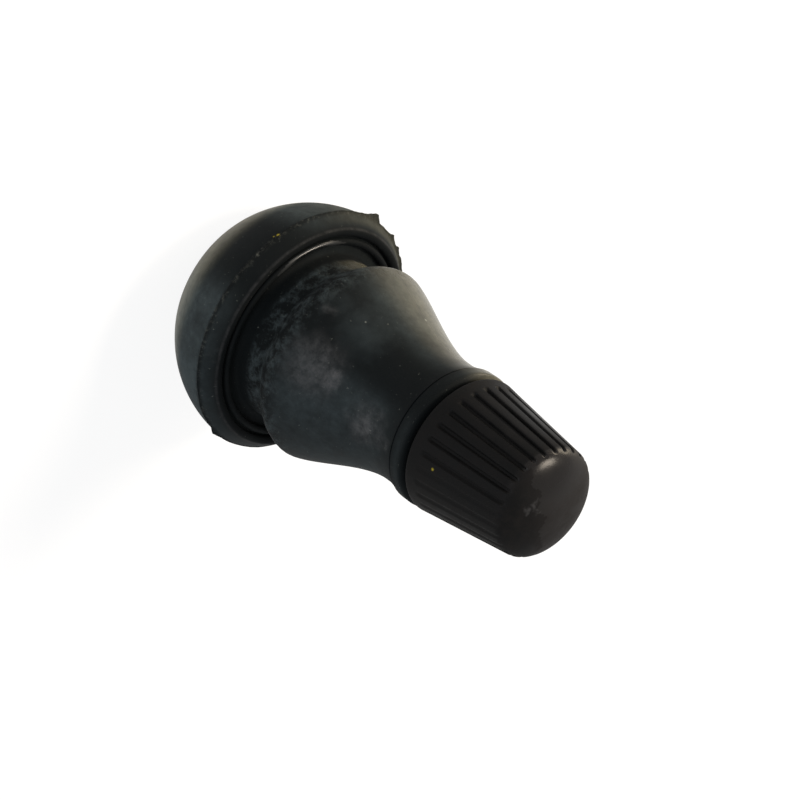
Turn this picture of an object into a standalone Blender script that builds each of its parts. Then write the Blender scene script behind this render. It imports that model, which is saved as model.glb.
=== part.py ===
"""Snap-in rubber tyre valve with its stem, removable core and screw cap.

The valve stands on the flat of its moulded head, with its axis on +Z and the
middle of that flat at the origin. Lengths are in metres.
"""

import math

import bmesh
import bpy

MM = 0.001

# Clearances
BOND_GAP = 0.05 * MM
THREAD_GAP = 0.08 * MM
RUN_GAP = 0.05 * MM
SEAT_GAP = 0.05 * MM

# Facets round each kind of turned piece
BODY_SEGMENTS = 44
METAL_SEGMENTS = 32
SMALL_SEGMENTS = 24

# Valve core, measured down from the mouth of the stem and out from its pin
CORE_DEPTH = 0.25 * MM
CORE_TRAVEL = 1.0 * MM
PIN_RADIUS = 0.5 * MM
PIN_HEAD_STEP = 0.25 * MM
PIN_HEAD_HEIGHT = 0.42 * MM
PIN_COLLAR_GAP = 0.2 * MM
PIN_COLLAR_HEIGHT = 0.4 * MM
PIN_HOLE_GAP = 0.12 * MM
PIN_RIVET_STEP = 0.35 * MM
PIN_RIVET_HEIGHT = 0.4 * MM
SPRING_ROOM = 0.65 * MM
SPRING_WIRE_RADIUS = 0.15 * MM
SPRING_PIN_GAP = 0.18 * MM
SPRING_TURNS = 8
SPRING_CLOSED_TURNS = 1
SPRING_POINTS_PER_TURN = 10
BARREL_WALL = 0.55 * MM
BARREL_LEDGE = 0.13 * MM
BARREL_LENGTH = 11.3 * MM
BARREL_FOOT_HEIGHT = 0.8 * MM
BARREL_LIP_HEIGHT = 0.3 * MM
BARREL_LIP_WIDTH = 0.25 * MM
BARREL_FLANGE_HEIGHT = 0.4 * MM
AIRWAY = 0.25 * MM
GASKET_HEIGHT = 1.5 * MM
GASKET_WALL = 0.4 * MM
GASKET_TAPER = 0.35 * MM
CORE_THREAD_STEP = 0.15 * MM
SWIVEL_NECK_WALL = 0.35 * MM
SWIVEL_HEAD_STEP = 0.35 * MM
SWIVEL_HEAD_HEIGHT = 0.55 * MM
PLUG_LIP_HEIGHT = 0.95 * MM
PLUG_THREAD_HEIGHT = 3.3 * MM
PLUG_CHAMFER = 0.25 * MM
BRIDGE_WALL = 0.55 * MM
BRIDGE_HEIGHT = 1.35 * MM
BRIDGE_ROOF = 0.6 * MM
CUP_WALL = 0.18 * MM
CUP_FLOOR = 0.4 * MM
CUP_DEPTH = 0.75 * MM
WASHER_THICKNESS = 1.1 * MM

# Radii of the core, which come to the standard 5.2 mm core thread
BARREL_BORE_RADIUS = PIN_RADIUS + SPRING_ROOM
BARREL_RADIUS = BARREL_BORE_RADIUS + BARREL_WALL
GASKET_BOTTOM_RADIUS = BARREL_RADIUS + GASKET_WALL
GASKET_TOP_RADIUS = GASKET_BOTTOM_RADIUS + GASKET_TAPER
CORE_THREAD_RADIUS = GASKET_TOP_RADIUS + CORE_THREAD_STEP

# Brass stem, whose thread comes to the standard 7.75 mm
STEM_WALL = 1.22 * MM
STEM_BASE = 1.2 * MM
FOOT_RADIUS = 4.9 * MM
FOOT_THICKNESS = 1.1 * MM
SHANK_STEP = 0.57 * MM
SHANK_HEIGHT = 11.3 * MM
KEY_GROOVE_COUNT = 2
KEY_GROOVE_DEPTH = 0.4 * MM
KEY_GROOVE_WIDTH = 0.9 * MM
KEY_GROOVE_PITCH = 3.2 * MM
KEY_GROOVE_START = 2.2 * MM
STEM_REACH = 7.75 * MM
STEM_CHAMFER = 0.45 * MM
MOUTH_CHAMFER = 0.3 * MM
AIR_HOLE_RADIUS = 1.5 * MM
AIR_CHAMBER_ROOM = 0.6 * MM
STEM_THREAD_RADIUS = CORE_THREAD_RADIUS + RUN_GAP + STEM_WALL
SHANK_RADIUS = STEM_THREAD_RADIUS - SHANK_STEP
AIR_CHAMBER_RADIUS = BARREL_RADIUS + AIRWAY

# Moulded head, from its flat up to the shoulder that bears on the wheel
HEAD_RADIUS = 9.5 * MM
HEAD_FLAT_RADIUS = 4.1 * MM
HEAD_DOME_HEIGHT = 7.05 * MM
HEAD_DOME_POWER = 1.7
HEAD_DOME_STEPS = 8
FLASH_REACH = 0.2 * MM
FLASH_THICKNESS = 0.16 * MM
FLANGE_HEIGHT = 1.27 * MM
FLANGE_SLOPE = 0.7 * MM
FLANGE_LIP_ROUND = 0.35 * MM
SHOULDER_WIDTH = 1.15 * MM
SHOULDER_DISH = 0.14 * MM
BEAD_ROUND = 0.16 * MM
AIR_INLET_STEP = 0.2 * MM
AIR_INLET_FLARE = 0.35 * MM
FLANGE_LIP_RADIUS = HEAD_RADIUS - FLANGE_SLOPE
BEAD_RADIUS = FLANGE_LIP_RADIUS - SHOULDER_WIDTH
AIR_INLET_RADIUS = AIR_HOLE_RADIUS + AIR_INLET_STEP

# Groove that the wheel's edge sits in, and the tapering sleeve above it
GROOVE_DEPTH = 1.1 * MM
GROOVE_WIDTH = 3.3 * MM
GROOVE_CORNER = 0.5 * MM
BULGE_OUT = 1.17 * MM
BULGE_ROUND = 0.5 * MM
TAPER_HEIGHT = 8.9 * MM
TAPER_LEAN = 0.53 * MM
TAPER_START = 2.1 * MM
TAPER_STEPS = 7
SLEEVE_WALL = 1.18 * MM
WAIST_LEAN = 0.1 * MM
WAIST_EASE = 3.0 * MM
FLARE_HEIGHT = 2.15 * MM
FLARE_OUT = 0.25 * MM
FLARE_STEPS = 2
COLLAR_STEP = 0.12 * MM
COLLAR_HEIGHT = 1.4 * MM
COLLAR_ROUND = 0.3 * MM
GROOVE_RADIUS = BEAD_RADIUS - GROOVE_DEPTH
BULGE_RADIUS = GROOVE_RADIUS + BULGE_OUT
WAIST_RADIUS = STEM_THREAD_RADIUS + SLEEVE_WALL
FLARE_RADIUS = WAIST_RADIUS + FLARE_OUT
COLLAR_RADIUS = FLARE_RADIUS + COLLAR_STEP

# Screw cap and the sealing ring in its top
CAP_GAP = 0.35 * MM
CAP_WALL = 1.45 * MM
CAP_TAPER = 0.98 * MM
CAP_BASE_ROUND = 0.22 * MM
CAP_BAND_HEIGHT = 0.95 * MM
CAP_DOME_HEIGHT = 1.65 * MM
CAP_DOME_POWER = 1.9
CAP_DOME_STEPS = 5
FLUTE_COUNT = 28
FLUTE_DEPTH = 0.24 * MM
FLUTE_END_LENGTH = 0.6 * MM
FLUTE_STATIONS = (0.0, 0.54, 0.7, 0.84)
CAP_MOUTH_CHAMFER = 0.35 * MM
CAP_ROOF = 1.28 * MM
CAP_CORE_ROOM = 0.52 * MM
CAP_SEAL_INSET = 0.37 * MM
CAP_SEAL_WIDTH = 0.75 * MM
CAP_SEAL_THICKNESS = 0.85 * MM
CAP_BORE_RADIUS = STEM_THREAD_RADIUS + THREAD_GAP
CAP_BASE_RADIUS = CAP_BORE_RADIUS + CAP_WALL
CAP_SHOULDER_RADIUS = CAP_BASE_RADIUS - CAP_TAPER
CAP_SEAL_OUTER_RADIUS = STEM_THREAD_RADIUS - CAP_SEAL_INSET
CAP_SEAL_INNER_RADIUS = CAP_SEAL_OUTER_RADIUS - CAP_SEAL_WIDTH

# Heights that follow from the lengths above
PARTING_Z = HEAD_DOME_HEIGHT
SHOULDER_Z = PARTING_Z + FLANGE_HEIGHT
GROOVE_TOP_Z = SHOULDER_Z + GROOVE_WIDTH
BULGE_Z = GROOVE_TOP_Z + BULGE_ROUND
WAIST_Z = BULGE_Z + TAPER_HEIGHT
FLARE_Z = WAIST_Z + FLARE_HEIGHT
COLLAR_TOP_Z = FLARE_Z + COLLAR_HEIGHT
STEM_TOP_Z = COLLAR_TOP_Z + STEM_REACH
CAP_BASE_Z = COLLAR_TOP_Z + CAP_GAP
CAP_SEAL_Z = STEM_TOP_Z + SEAT_GAP
CAP_SEAL_TOP_Z = CAP_SEAL_Z + CAP_SEAL_THICKNESS
CAP_CEILING_Z = CAP_SEAL_TOP_Z + SEAT_GAP + CAP_CORE_ROOM
CAP_TOP_Z = CAP_CEILING_Z + CAP_ROOF
CAP_SHOULDER_Z = CAP_TOP_Z - CAP_DOME_HEIGHT
PIN_TOP_Z = STEM_TOP_Z - CORE_DEPTH
BRIDGE_TOP_Z = PIN_TOP_Z - PIN_HEAD_HEIGHT - CORE_TRAVEL - RUN_GAP
PLUG_THREAD_TOP_Z = BRIDGE_TOP_Z - BRIDGE_HEIGHT
PLUG_BASE_Z = PLUG_THREAD_TOP_Z - PLUG_THREAD_HEIGHT
FLANGE_TOP_Z = PLUG_BASE_Z - SEAT_GAP
GASKET_TOP_Z = FLANGE_TOP_Z - BARREL_FLANGE_HEIGHT - SEAT_GAP
GASKET_BASE_Z = GASKET_TOP_Z - GASKET_HEIGHT
BARREL_BASE_Z = FLANGE_TOP_Z - BARREL_LENGTH
SWIVEL_HEAD_Z = PLUG_BASE_Z + PLUG_LIP_HEIGHT + SEAT_GAP
BARREL_TOP_Z = SWIVEL_HEAD_Z + SWIVEL_HEAD_HEIGHT
WASHER_TOP_Z = BARREL_BASE_Z - SEAT_GAP
CUP_FLOOR_TOP_Z = WASHER_TOP_Z - WASHER_THICKNESS - SEAT_GAP
CUP_BASE_Z = CUP_FLOOR_TOP_Z - CUP_FLOOR
RIVET_TOP_Z = CUP_BASE_Z - RUN_GAP
PIN_BASE_Z = RIVET_TOP_Z - PIN_RIVET_HEIGHT
SPRING_BASE_Z = BARREL_BASE_Z + BARREL_FOOT_HEIGHT + SEAT_GAP
SPRING_TOP_Z = FLANGE_TOP_Z - BARREL_FLANGE_HEIGHT
PIN_COLLAR_Z = SPRING_TOP_Z + SEAT_GAP
CHAMBER_BASE_Z = PIN_BASE_Z - CORE_TRAVEL - AIR_CHAMBER_ROOM


def arc(centre_r, centre_z, radius, start_deg, end_deg, steps):
    """Points along a round of a profile, as (radius, height) pairs."""
    points = []
    for step in range(steps + 1):
        angle = math.radians(start_deg + (end_deg - start_deg) * step / steps)
        points.append((centre_r + radius * math.cos(angle), centre_z + radius * math.sin(angle)))
    return points


def bezier(p0, p1, p2, p3, steps):
    """Points along a cubic curve of a profile, without its first point."""
    points = []
    for step in range(1, steps + 1):
        t = step / steps
        weights = ((1 - t) ** 3, 3 * t * (1 - t) ** 2, 3 * t * t * (1 - t), t ** 3)
        r = sum(w * p[0] for w, p in zip(weights, (p0, p1, p2, p3)))
        z = sum(w * p[1] for w, p in zip(weights, (p0, p1, p2, p3)))
        points.append((r, z))
    return points


def grown(points, gap):
    """A path moved sideways by a gap, to the right of its own direction."""
    normals = []
    for (r0, z0), (r1, z1) in zip(points, points[1:]):
        length = math.hypot(r1 - r0, z1 - z0)
        normals.append(((z1 - z0) / length, (r0 - r1) / length))
    moved = []
    for index, (r, z) in enumerate(points):
        before = normals[max(index - 1, 0)]
        after = normals[min(index, len(normals) - 1)]
        share = 1 + before[0] * after[0] + before[1] * after[1]
        moved.append((r + gap * (before[0] + after[0]) / share, z + gap * (before[1] + after[1]) / share))
    return moved


def material(name, hex_colour, roughness, metallic=0.0):
    """A Principled material from an sRGB colour."""
    mat = bpy.data.materials.new(name)
    mat.use_nodes = True
    shader = mat.node_tree.nodes["Principled BSDF"]
    linear = []
    for position in (0, 2, 4):
        channel = int(hex_colour[position:position + 2], 16) / 255
        linear.append(channel / 12.92 if channel <= 0.04045 else ((channel + 0.055) / 1.055) ** 2.4)
    shader.inputs["Base Color"].default_value = (*linear, 1)
    shader.inputs["Roughness"].default_value = roughness
    shader.inputs["Metallic"].default_value = metallic
    mat.diffuse_color = (*linear, 1)
    return mat


def turned_bmesh(profile, segments, closed=True):
    """A solid spun from a profile of (radius, height) pairs about +Z.

    A profile that isn't closed starts and ends on the axis.
    """
    bm = bmesh.new()
    verts = [bm.verts.new((r, 0, z)) for r, z in profile]
    edges = [bm.edges.new(pair) for pair in zip(verts, verts[1:])]
    if closed:
        edges.append(bm.edges.new((verts[-1], verts[0])))
    bmesh.ops.spin(
        bm,
        geom=verts + edges,
        cent=(0, 0, 0),
        axis=(0, 0, 1),
        angle=math.tau,
        steps=segments,
        use_merge=True,
    )
    bmesh.ops.remove_doubles(bm, verts=bm.verts[:], dist=0.0005 * MM)
    bmesh.ops.recalc_face_normals(bm, faces=bm.faces[:])
    return bm


def add_piece(name, bm, mat, origin_z=0.0, parent=None):
    """An object whose origin lies on the valve's axis at a given height."""
    bmesh.ops.translate(bm, verts=bm.verts[:], vec=(0, 0, -origin_z))
    mesh = bpy.data.meshes.new(name)
    bm.to_mesh(mesh)
    bm.free()
    mesh.materials.append(mat)
    mesh.shade_smooth()
    mesh.set_sharp_from_angle(angle=math.radians(32))
    piece = bpy.data.objects.new(name, mesh)
    bpy.context.collection.objects.link(piece)
    piece.location.z = origin_z
    if parent is not None:
        piece.parent = parent
        piece.location.z = origin_z - parent.location.z
    return piece


def axis_empty(name, height):
    """An empty on the valve's axis that carries the pieces that move together."""
    empty = bpy.data.objects.new(name, None)
    empty.empty_display_size = 2 * MM
    empty.location.z = height
    bpy.context.collection.objects.link(empty)
    return empty


def stem_outer_path():
    """Outside of the stem from its foot to where it leaves the rubber."""
    foot_top = STEM_BASE + FOOT_THICKNESS
    shank_top = foot_top + SHANK_HEIGHT
    cone_top = shank_top + (STEM_THREAD_RADIUS - SHANK_RADIUS)
    path = [
        (AIR_HOLE_RADIUS, STEM_BASE),
        (FOOT_RADIUS, STEM_BASE),
        (FOOT_RADIUS, foot_top),
        (SHANK_RADIUS, foot_top),
    ]
    for index in range(KEY_GROOVE_COUNT):
        low = foot_top + KEY_GROOVE_START + index * KEY_GROOVE_PITCH
        high = low + KEY_GROOVE_WIDTH
        floor = SHANK_RADIUS - KEY_GROOVE_DEPTH
        path += [(SHANK_RADIUS, low), (floor, low), (floor, high), (SHANK_RADIUS, high)]
    path += [(SHANK_RADIUS, shank_top), (STEM_THREAD_RADIUS, cone_top)]
    path.append((STEM_THREAD_RADIUS, COLLAR_TOP_Z))
    return path


def make_stem(mat):
    """Brass tube with a foot, keying grooves, a stepped bore and a threaded mouth."""
    core_bore = CORE_THREAD_RADIUS + RUN_GAP
    seat_low = GASKET_BOTTOM_RADIUS + RUN_GAP
    seat_high = GASKET_TOP_RADIUS + RUN_GAP
    chamber_cone = AIR_CHAMBER_RADIUS - AIR_HOLE_RADIUS
    profile = stem_outer_path() + [
        (STEM_THREAD_RADIUS, STEM_TOP_Z - STEM_CHAMFER),
        (STEM_THREAD_RADIUS - STEM_CHAMFER, STEM_TOP_Z),
        (core_bore + MOUTH_CHAMFER, STEM_TOP_Z),
        (core_bore, STEM_TOP_Z - MOUTH_CHAMFER),
        (core_bore, GASKET_TOP_Z + SEAT_GAP),
        (seat_high, GASKET_TOP_Z),
        (seat_low, GASKET_BASE_Z),
        (AIR_CHAMBER_RADIUS, GASKET_BASE_Z - SEAT_GAP),
        (AIR_CHAMBER_RADIUS, CHAMBER_BASE_Z),
        (AIR_HOLE_RADIUS, CHAMBER_BASE_Z - chamber_cone),
    ]
    return add_piece("stem", turned_bmesh(profile, METAL_SEGMENTS), mat)


def make_rubber_body(mat):
    """Moulded head, wheel groove and tapering sleeve bonded round the stem."""
    profile = [(AIR_INLET_RADIUS + AIR_INLET_FLARE, 0.0)]
    dome_height = PARTING_Z - FLASH_THICKNESS / 2
    for step in range(HEAD_DOME_STEPS + 1):
        angle = math.pi / 2 * step / HEAD_DOME_STEPS
        out = math.sin(angle) ** (2 / HEAD_DOME_POWER)
        up = 1 - max(0.0, math.cos(angle)) ** (2 / HEAD_DOME_POWER)
        profile.append((HEAD_FLAT_RADIUS + (HEAD_RADIUS - HEAD_FLAT_RADIUS) * out, dome_height * up))
    profile += [
        (HEAD_RADIUS + FLASH_REACH, PARTING_Z - FLASH_THICKNESS / 4),
        (HEAD_RADIUS + FLASH_REACH, PARTING_Z + FLASH_THICKNESS / 4),
        (HEAD_RADIUS - FLASH_THICKNESS / 4, PARTING_Z + FLASH_THICKNESS / 2),
    ]
    lip_z = SHOULDER_Z - FLANGE_LIP_ROUND
    dish_z = SHOULDER_Z - SHOULDER_DISH
    profile += arc(FLANGE_LIP_RADIUS - FLANGE_LIP_ROUND, lip_z, FLANGE_LIP_ROUND, 20, 90, 3)
    profile.append((FLANGE_LIP_RADIUS - FLANGE_LIP_ROUND - SHOULDER_DISH, dish_z))
    profile += arc(BEAD_RADIUS, dish_z, BEAD_ROUND, 0, 180, 4)
    profile += arc(GROOVE_RADIUS + GROOVE_CORNER, dish_z + GROOVE_CORNER, GROOVE_CORNER, 270, 180, 3)
    flank_foot = (GROOVE_RADIUS, GROOVE_TOP_Z - GROOVE_CORNER)
    bulge_edge = (BULGE_RADIUS, BULGE_Z)
    profile.append(flank_foot)
    profile += bezier(
        flank_foot,
        (GROOVE_RADIUS, GROOVE_TOP_Z),
        (BULGE_RADIUS, GROOVE_TOP_Z),
        bulge_edge,
        4,
    )
    profile += bezier(
        bulge_edge,
        (BULGE_RADIUS - TAPER_LEAN, BULGE_Z + TAPER_START),
        (WAIST_RADIUS + WAIST_LEAN, WAIST_Z - WAIST_EASE),
        (WAIST_RADIUS, WAIST_Z),
        TAPER_STEPS,
    )
    profile += bezier(
        (WAIST_RADIUS, WAIST_Z),
        (WAIST_RADIUS, WAIST_Z + FLARE_HEIGHT / 2),
        (WAIST_RADIUS, WAIST_Z + FLARE_HEIGHT / 2),
        (FLARE_RADIUS, FLARE_Z),
        FLARE_STEPS,
    )
    profile.append((COLLAR_RADIUS, FLARE_Z + COLLAR_STEP))
    profile += arc(COLLAR_RADIUS - COLLAR_ROUND, COLLAR_TOP_Z - COLLAR_ROUND, COLLAR_ROUND, 0, 90, 3)
    socket = grown(stem_outer_path(), BOND_GAP)
    socket[0] = (AIR_INLET_RADIUS, socket[0][1])
    profile += socket[::-1]
    profile.append((AIR_INLET_RADIUS, AIR_INLET_FLARE))
    return add_piece("rubber_body", turned_bmesh(profile, BODY_SEGMENTS), mat)


def flute_shape(z):
    """Share of the full flute depth at a height on the cap."""
    start = CAP_BASE_Z + CAP_BAND_HEIGHT
    rise = (z - start) / FLUTE_END_LENGTH
    fall = (CAP_SHOULDER_Z + FLUTE_END_LENGTH - z) / FLUTE_END_LENGTH
    return max(0.0, min(1.0, rise, fall))


def cut_flutes(bm, bore_limit):
    """Moves the outer points of a turned cap into straight flutes."""
    pitch = math.tau / FLUTE_COUNT
    stations = len(FLUTE_STATIONS)
    for vert in bm.verts:
        radius = math.hypot(vert.co.x, vert.co.y)
        if radius < SEAT_GAP:
            continue
        turn = math.atan2(vert.co.y, vert.co.x) % math.tau
        index = round(turn / pitch * stations) % (FLUTE_COUNT * stations)
        flute, station = divmod(index, stations)
        angle = pitch * (flute + FLUTE_STATIONS[station])
        if radius > bore_limit and station >= 2:
            radius -= FLUTE_DEPTH * flute_shape(vert.co.z)
        vert.co.x = radius * math.cos(angle)
        vert.co.y = radius * math.sin(angle)


def make_cap(mat, parent):
    """Plastic cap with a plain band, straight flutes and a domed end."""
    band_top = CAP_BASE_Z + CAP_BAND_HEIGHT
    seal_bore = CAP_SEAL_OUTER_RADIUS + SEAT_GAP

    def wall_radius(z):
        share = (z - CAP_BASE_Z) / (CAP_SHOULDER_Z - CAP_BASE_Z)
        return CAP_BASE_RADIUS - CAP_TAPER * share

    profile = [(0.0, CAP_TOP_Z)]
    for step in range(CAP_DOME_STEPS - 1, -1, -1):
        angle = math.pi / 2 * step / CAP_DOME_STEPS
        out = math.cos(angle) ** (2 / CAP_DOME_POWER)
        up = math.sin(angle) ** (2 / CAP_DOME_POWER)
        profile.append((CAP_SHOULDER_RADIUS * out, CAP_SHOULDER_Z + CAP_DOME_HEIGHT * up))
    flute_top = CAP_SHOULDER_Z - FLUTE_END_LENGTH / 2
    for z in (flute_top, band_top + FLUTE_END_LENGTH, band_top + FLUTE_END_LENGTH / 2, band_top):
        profile.append((wall_radius(z), z))
    profile += [
        (wall_radius(CAP_BASE_Z + CAP_BASE_ROUND), CAP_BASE_Z + CAP_BASE_ROUND),
        (CAP_BASE_RADIUS - CAP_BASE_ROUND, CAP_BASE_Z),
        (CAP_BORE_RADIUS + CAP_MOUTH_CHAMFER, CAP_BASE_Z),
        (CAP_BORE_RADIUS, CAP_BASE_Z + CAP_MOUTH_CHAMFER),
        (CAP_BORE_RADIUS, CAP_SEAL_Z),
        (seal_bore, CAP_SEAL_Z),
        (seal_bore, CAP_SEAL_TOP_Z + SEAT_GAP),
        (CAP_SEAL_INNER_RADIUS, CAP_SEAL_TOP_Z + SEAT_GAP),
        (CAP_SEAL_INNER_RADIUS, CAP_CEILING_Z),
        (0.0, CAP_CEILING_Z),
    ]
    bm = turned_bmesh(profile, FLUTE_COUNT * len(FLUTE_STATIONS), closed=False)
    cut_flutes(bm, CAP_BORE_RADIUS + CAP_MOUTH_CHAMFER / 2)
    return add_piece("cap", bm, mat, CAP_BASE_Z, parent)


def make_cap_seal(mat, parent):
    """Flat rubber ring held in the top of the cap's bore."""
    profile = [
        (CAP_SEAL_INNER_RADIUS, CAP_SEAL_Z),
        (CAP_SEAL_OUTER_RADIUS, CAP_SEAL_Z),
        (CAP_SEAL_OUTER_RADIUS, CAP_SEAL_TOP_Z),
        (CAP_SEAL_INNER_RADIUS, CAP_SEAL_TOP_Z),
    ]
    return add_piece("cap_seal", turned_bmesh(profile, METAL_SEGMENTS), mat, CAP_BASE_Z, parent)


def add_cutter(name, size, centre, parent):
    """A hidden box that a Boolean takes away."""
    bm = bmesh.new()
    bmesh.ops.create_cube(bm, size=1.0)
    bmesh.ops.scale(bm, vec=size, verts=bm.verts[:])
    bmesh.ops.translate(bm, vec=centre, verts=bm.verts[:])
    bmesh.ops.translate(bm, vec=(0, 0, -parent.location.z), verts=bm.verts[:])
    mesh = bpy.data.meshes.new(name)
    bm.to_mesh(mesh)
    bm.free()
    cutter = bpy.data.objects.new(name, mesh)
    bpy.context.collection.objects.link(cutter)
    cutter.parent = parent
    cutter.hide_render = True
    cutter.display_type = "WIRE"
    return cutter


def make_core_plug(mat, parent):
    """Threaded swivel of the core, with a two-flat bridge that guides the pin."""
    neck_bore = BARREL_BORE_RADIUS + SWIVEL_NECK_WALL + RUN_GAP
    head_bore = neck_bore + SWIVEL_HEAD_STEP
    pin_hole = PIN_RADIUS + PIN_HOLE_GAP
    airway = BARREL_BORE_RADIUS + AIRWAY
    bridge_radius = airway + BRIDGE_WALL
    head_room_top = BARREL_TOP_Z + RUN_GAP
    roof_z = BRIDGE_TOP_Z - BRIDGE_ROOF
    profile = [
        (neck_bore, PLUG_BASE_Z),
        (CORE_THREAD_RADIUS - PLUG_CHAMFER, PLUG_BASE_Z),
        (CORE_THREAD_RADIUS, PLUG_BASE_Z + PLUG_CHAMFER),
        (CORE_THREAD_RADIUS, PLUG_THREAD_TOP_Z - PLUG_CHAMFER),
        (CORE_THREAD_RADIUS - PLUG_CHAMFER, PLUG_THREAD_TOP_Z),
        (bridge_radius, PLUG_THREAD_TOP_Z),
        (bridge_radius, BRIDGE_TOP_Z - PLUG_CHAMFER),
        (bridge_radius - PLUG_CHAMFER, BRIDGE_TOP_Z),
        (pin_hole, BRIDGE_TOP_Z),
        (pin_hole, roof_z),
        (airway, roof_z),
        (airway, head_room_top),
        (head_bore, head_room_top),
        (head_bore, PLUG_BASE_Z + PLUG_LIP_HEIGHT),
        (neck_bore, PLUG_BASE_Z + PLUG_LIP_HEIGHT),
    ]
    plug = add_piece("core_plug", turned_bmesh(profile, METAL_SEGMENTS), mat, PLUG_BASE_Z, parent)
    flat_depth = bridge_radius
    for side, label in ((1, "front"), (-1, "back")):
        cutter = add_cutter(
            f"bridge_flat_{label}",
            (4 * bridge_radius, flat_depth, 2 * BRIDGE_HEIGHT),
            (0, side * (BARREL_BORE_RADIUS + flat_depth / 2), PLUG_THREAD_TOP_Z + BRIDGE_HEIGHT),
            parent,
        )
        cut = plug.modifiers.new(f"flat_{label}", "BOOLEAN")
        cut.operation = "DIFFERENCE"
        cut.solver = "EXACT"
        cut.object = cutter
    return plug


def make_core_barrel(mat, parent):
    """Brass tube that carries the gasket, the spring and the seat for the washer."""
    foot_bore = PIN_RADIUS + AIRWAY
    lip_radius = foot_bore + BARREL_LIP_WIDTH
    gasket_seat = BARREL_RADIUS - BARREL_LEDGE - RUN_GAP
    neck = BARREL_BORE_RADIUS + SWIVEL_NECK_WALL
    head = neck + SWIVEL_HEAD_STEP
    flange = GASKET_BOTTOM_RADIUS
    profile = [
        (foot_bore, BARREL_BASE_Z),
        (lip_radius, BARREL_BASE_Z),
        (lip_radius + BARREL_LIP_HEIGHT / 2, BARREL_BASE_Z + BARREL_LIP_HEIGHT),
        (BARREL_RADIUS, BARREL_BASE_Z + BARREL_LIP_HEIGHT),
        (BARREL_RADIUS, GASKET_BASE_Z - 2 * SEAT_GAP),
        (gasket_seat, GASKET_BASE_Z - SEAT_GAP),
        (gasket_seat, GASKET_TOP_Z + SEAT_GAP),
        (flange, GASKET_TOP_Z + SEAT_GAP),
        (flange, FLANGE_TOP_Z),
        (neck, FLANGE_TOP_Z),
        (neck, SWIVEL_HEAD_Z),
        (head, SWIVEL_HEAD_Z),
        (head, BARREL_TOP_Z),
        (BARREL_BORE_RADIUS, BARREL_TOP_Z),
        (BARREL_BORE_RADIUS, BARREL_BASE_Z + BARREL_FOOT_HEIGHT),
        (foot_bore, BARREL_BASE_Z + BARREL_FOOT_HEIGHT),
    ]
    return add_piece("core_barrel", turned_bmesh(profile, METAL_SEGMENTS), mat, FLANGE_TOP_Z, parent)


def make_barrel_gasket(mat, parent):
    """Tapered sealing ring that seats in the stem's cone."""
    bore = BARREL_RADIUS - BARREL_LEDGE
    profile = [
        (bore, GASKET_BASE_Z),
        (GASKET_BOTTOM_RADIUS, GASKET_BASE_Z),
        (GASKET_TOP_RADIUS, GASKET_TOP_Z),
        (bore, GASKET_TOP_Z),
    ]
    return add_piece("barrel_gasket", turned_bmesh(profile, METAL_SEGMENTS), mat, GASKET_BASE_Z, parent)


def make_core_pin(mat, parent):
    """Pin through the whole core, with a head, a spring collar and a riveted end."""
    head = PIN_RADIUS + PIN_HEAD_STEP
    collar = BARREL_BORE_RADIUS - PIN_COLLAR_GAP
    rivet = PIN_RADIUS + PIN_RIVET_STEP
    head_base = PIN_TOP_Z - PIN_HEAD_HEIGHT
    round_off = PIN_HEAD_HEIGHT / 3
    profile = [
        (0.0, PIN_TOP_Z),
        (head - round_off, PIN_TOP_Z),
        (head, PIN_TOP_Z - round_off),
        (head, head_base),
        (PIN_RADIUS, head_base),
        (PIN_RADIUS, PIN_COLLAR_Z + PIN_COLLAR_HEIGHT),
        (collar, PIN_COLLAR_Z + PIN_COLLAR_HEIGHT),
        (collar, PIN_COLLAR_Z),
        (PIN_RADIUS, PIN_COLLAR_Z),
        (PIN_RADIUS, RIVET_TOP_Z),
        (rivet, RIVET_TOP_Z),
        (rivet, PIN_BASE_Z + PIN_RIVET_HEIGHT / 2),
        (PIN_RADIUS, PIN_BASE_Z),
        (0.0, PIN_BASE_Z),
    ]
    bm = turned_bmesh(profile, SMALL_SEGMENTS, closed=False)
    return add_piece("core_pin", bm, mat, PIN_TOP_Z, parent)


def make_core_cup(mat, parent):
    """Pressed cup on the pin's lower end that holds the seat washer."""
    hole = PIN_RADIUS + RUN_GAP
    inside = BARREL_RADIUS - CUP_WALL
    rim_z = CUP_FLOOR_TOP_Z + CUP_DEPTH
    profile = [
        (hole, CUP_BASE_Z),
        (inside, CUP_BASE_Z),
        (BARREL_RADIUS, CUP_BASE_Z + CUP_WALL),
        (BARREL_RADIUS, rim_z),
        (inside, rim_z),
        (inside, CUP_FLOOR_TOP_Z),
        (hole, CUP_FLOOR_TOP_Z),
    ]
    return add_piece("core_cup", turned_bmesh(profile, SMALL_SEGMENTS), mat, PIN_TOP_Z, parent)


def make_seat_washer(mat, parent):
    """Rubber washer that closes the barrel's lower end."""
    hole = PIN_RADIUS + RUN_GAP
    rim = BARREL_RADIUS - CUP_WALL - RUN_GAP
    low = CUP_FLOOR_TOP_Z + SEAT_GAP
    profile = [(hole, low), (rim, low), (rim, WASHER_TOP_Z), (hole, WASHER_TOP_Z)]
    return add_piece("seat_washer", turned_bmesh(profile, SMALL_SEGMENTS), mat, PIN_TOP_Z, parent)


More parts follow.
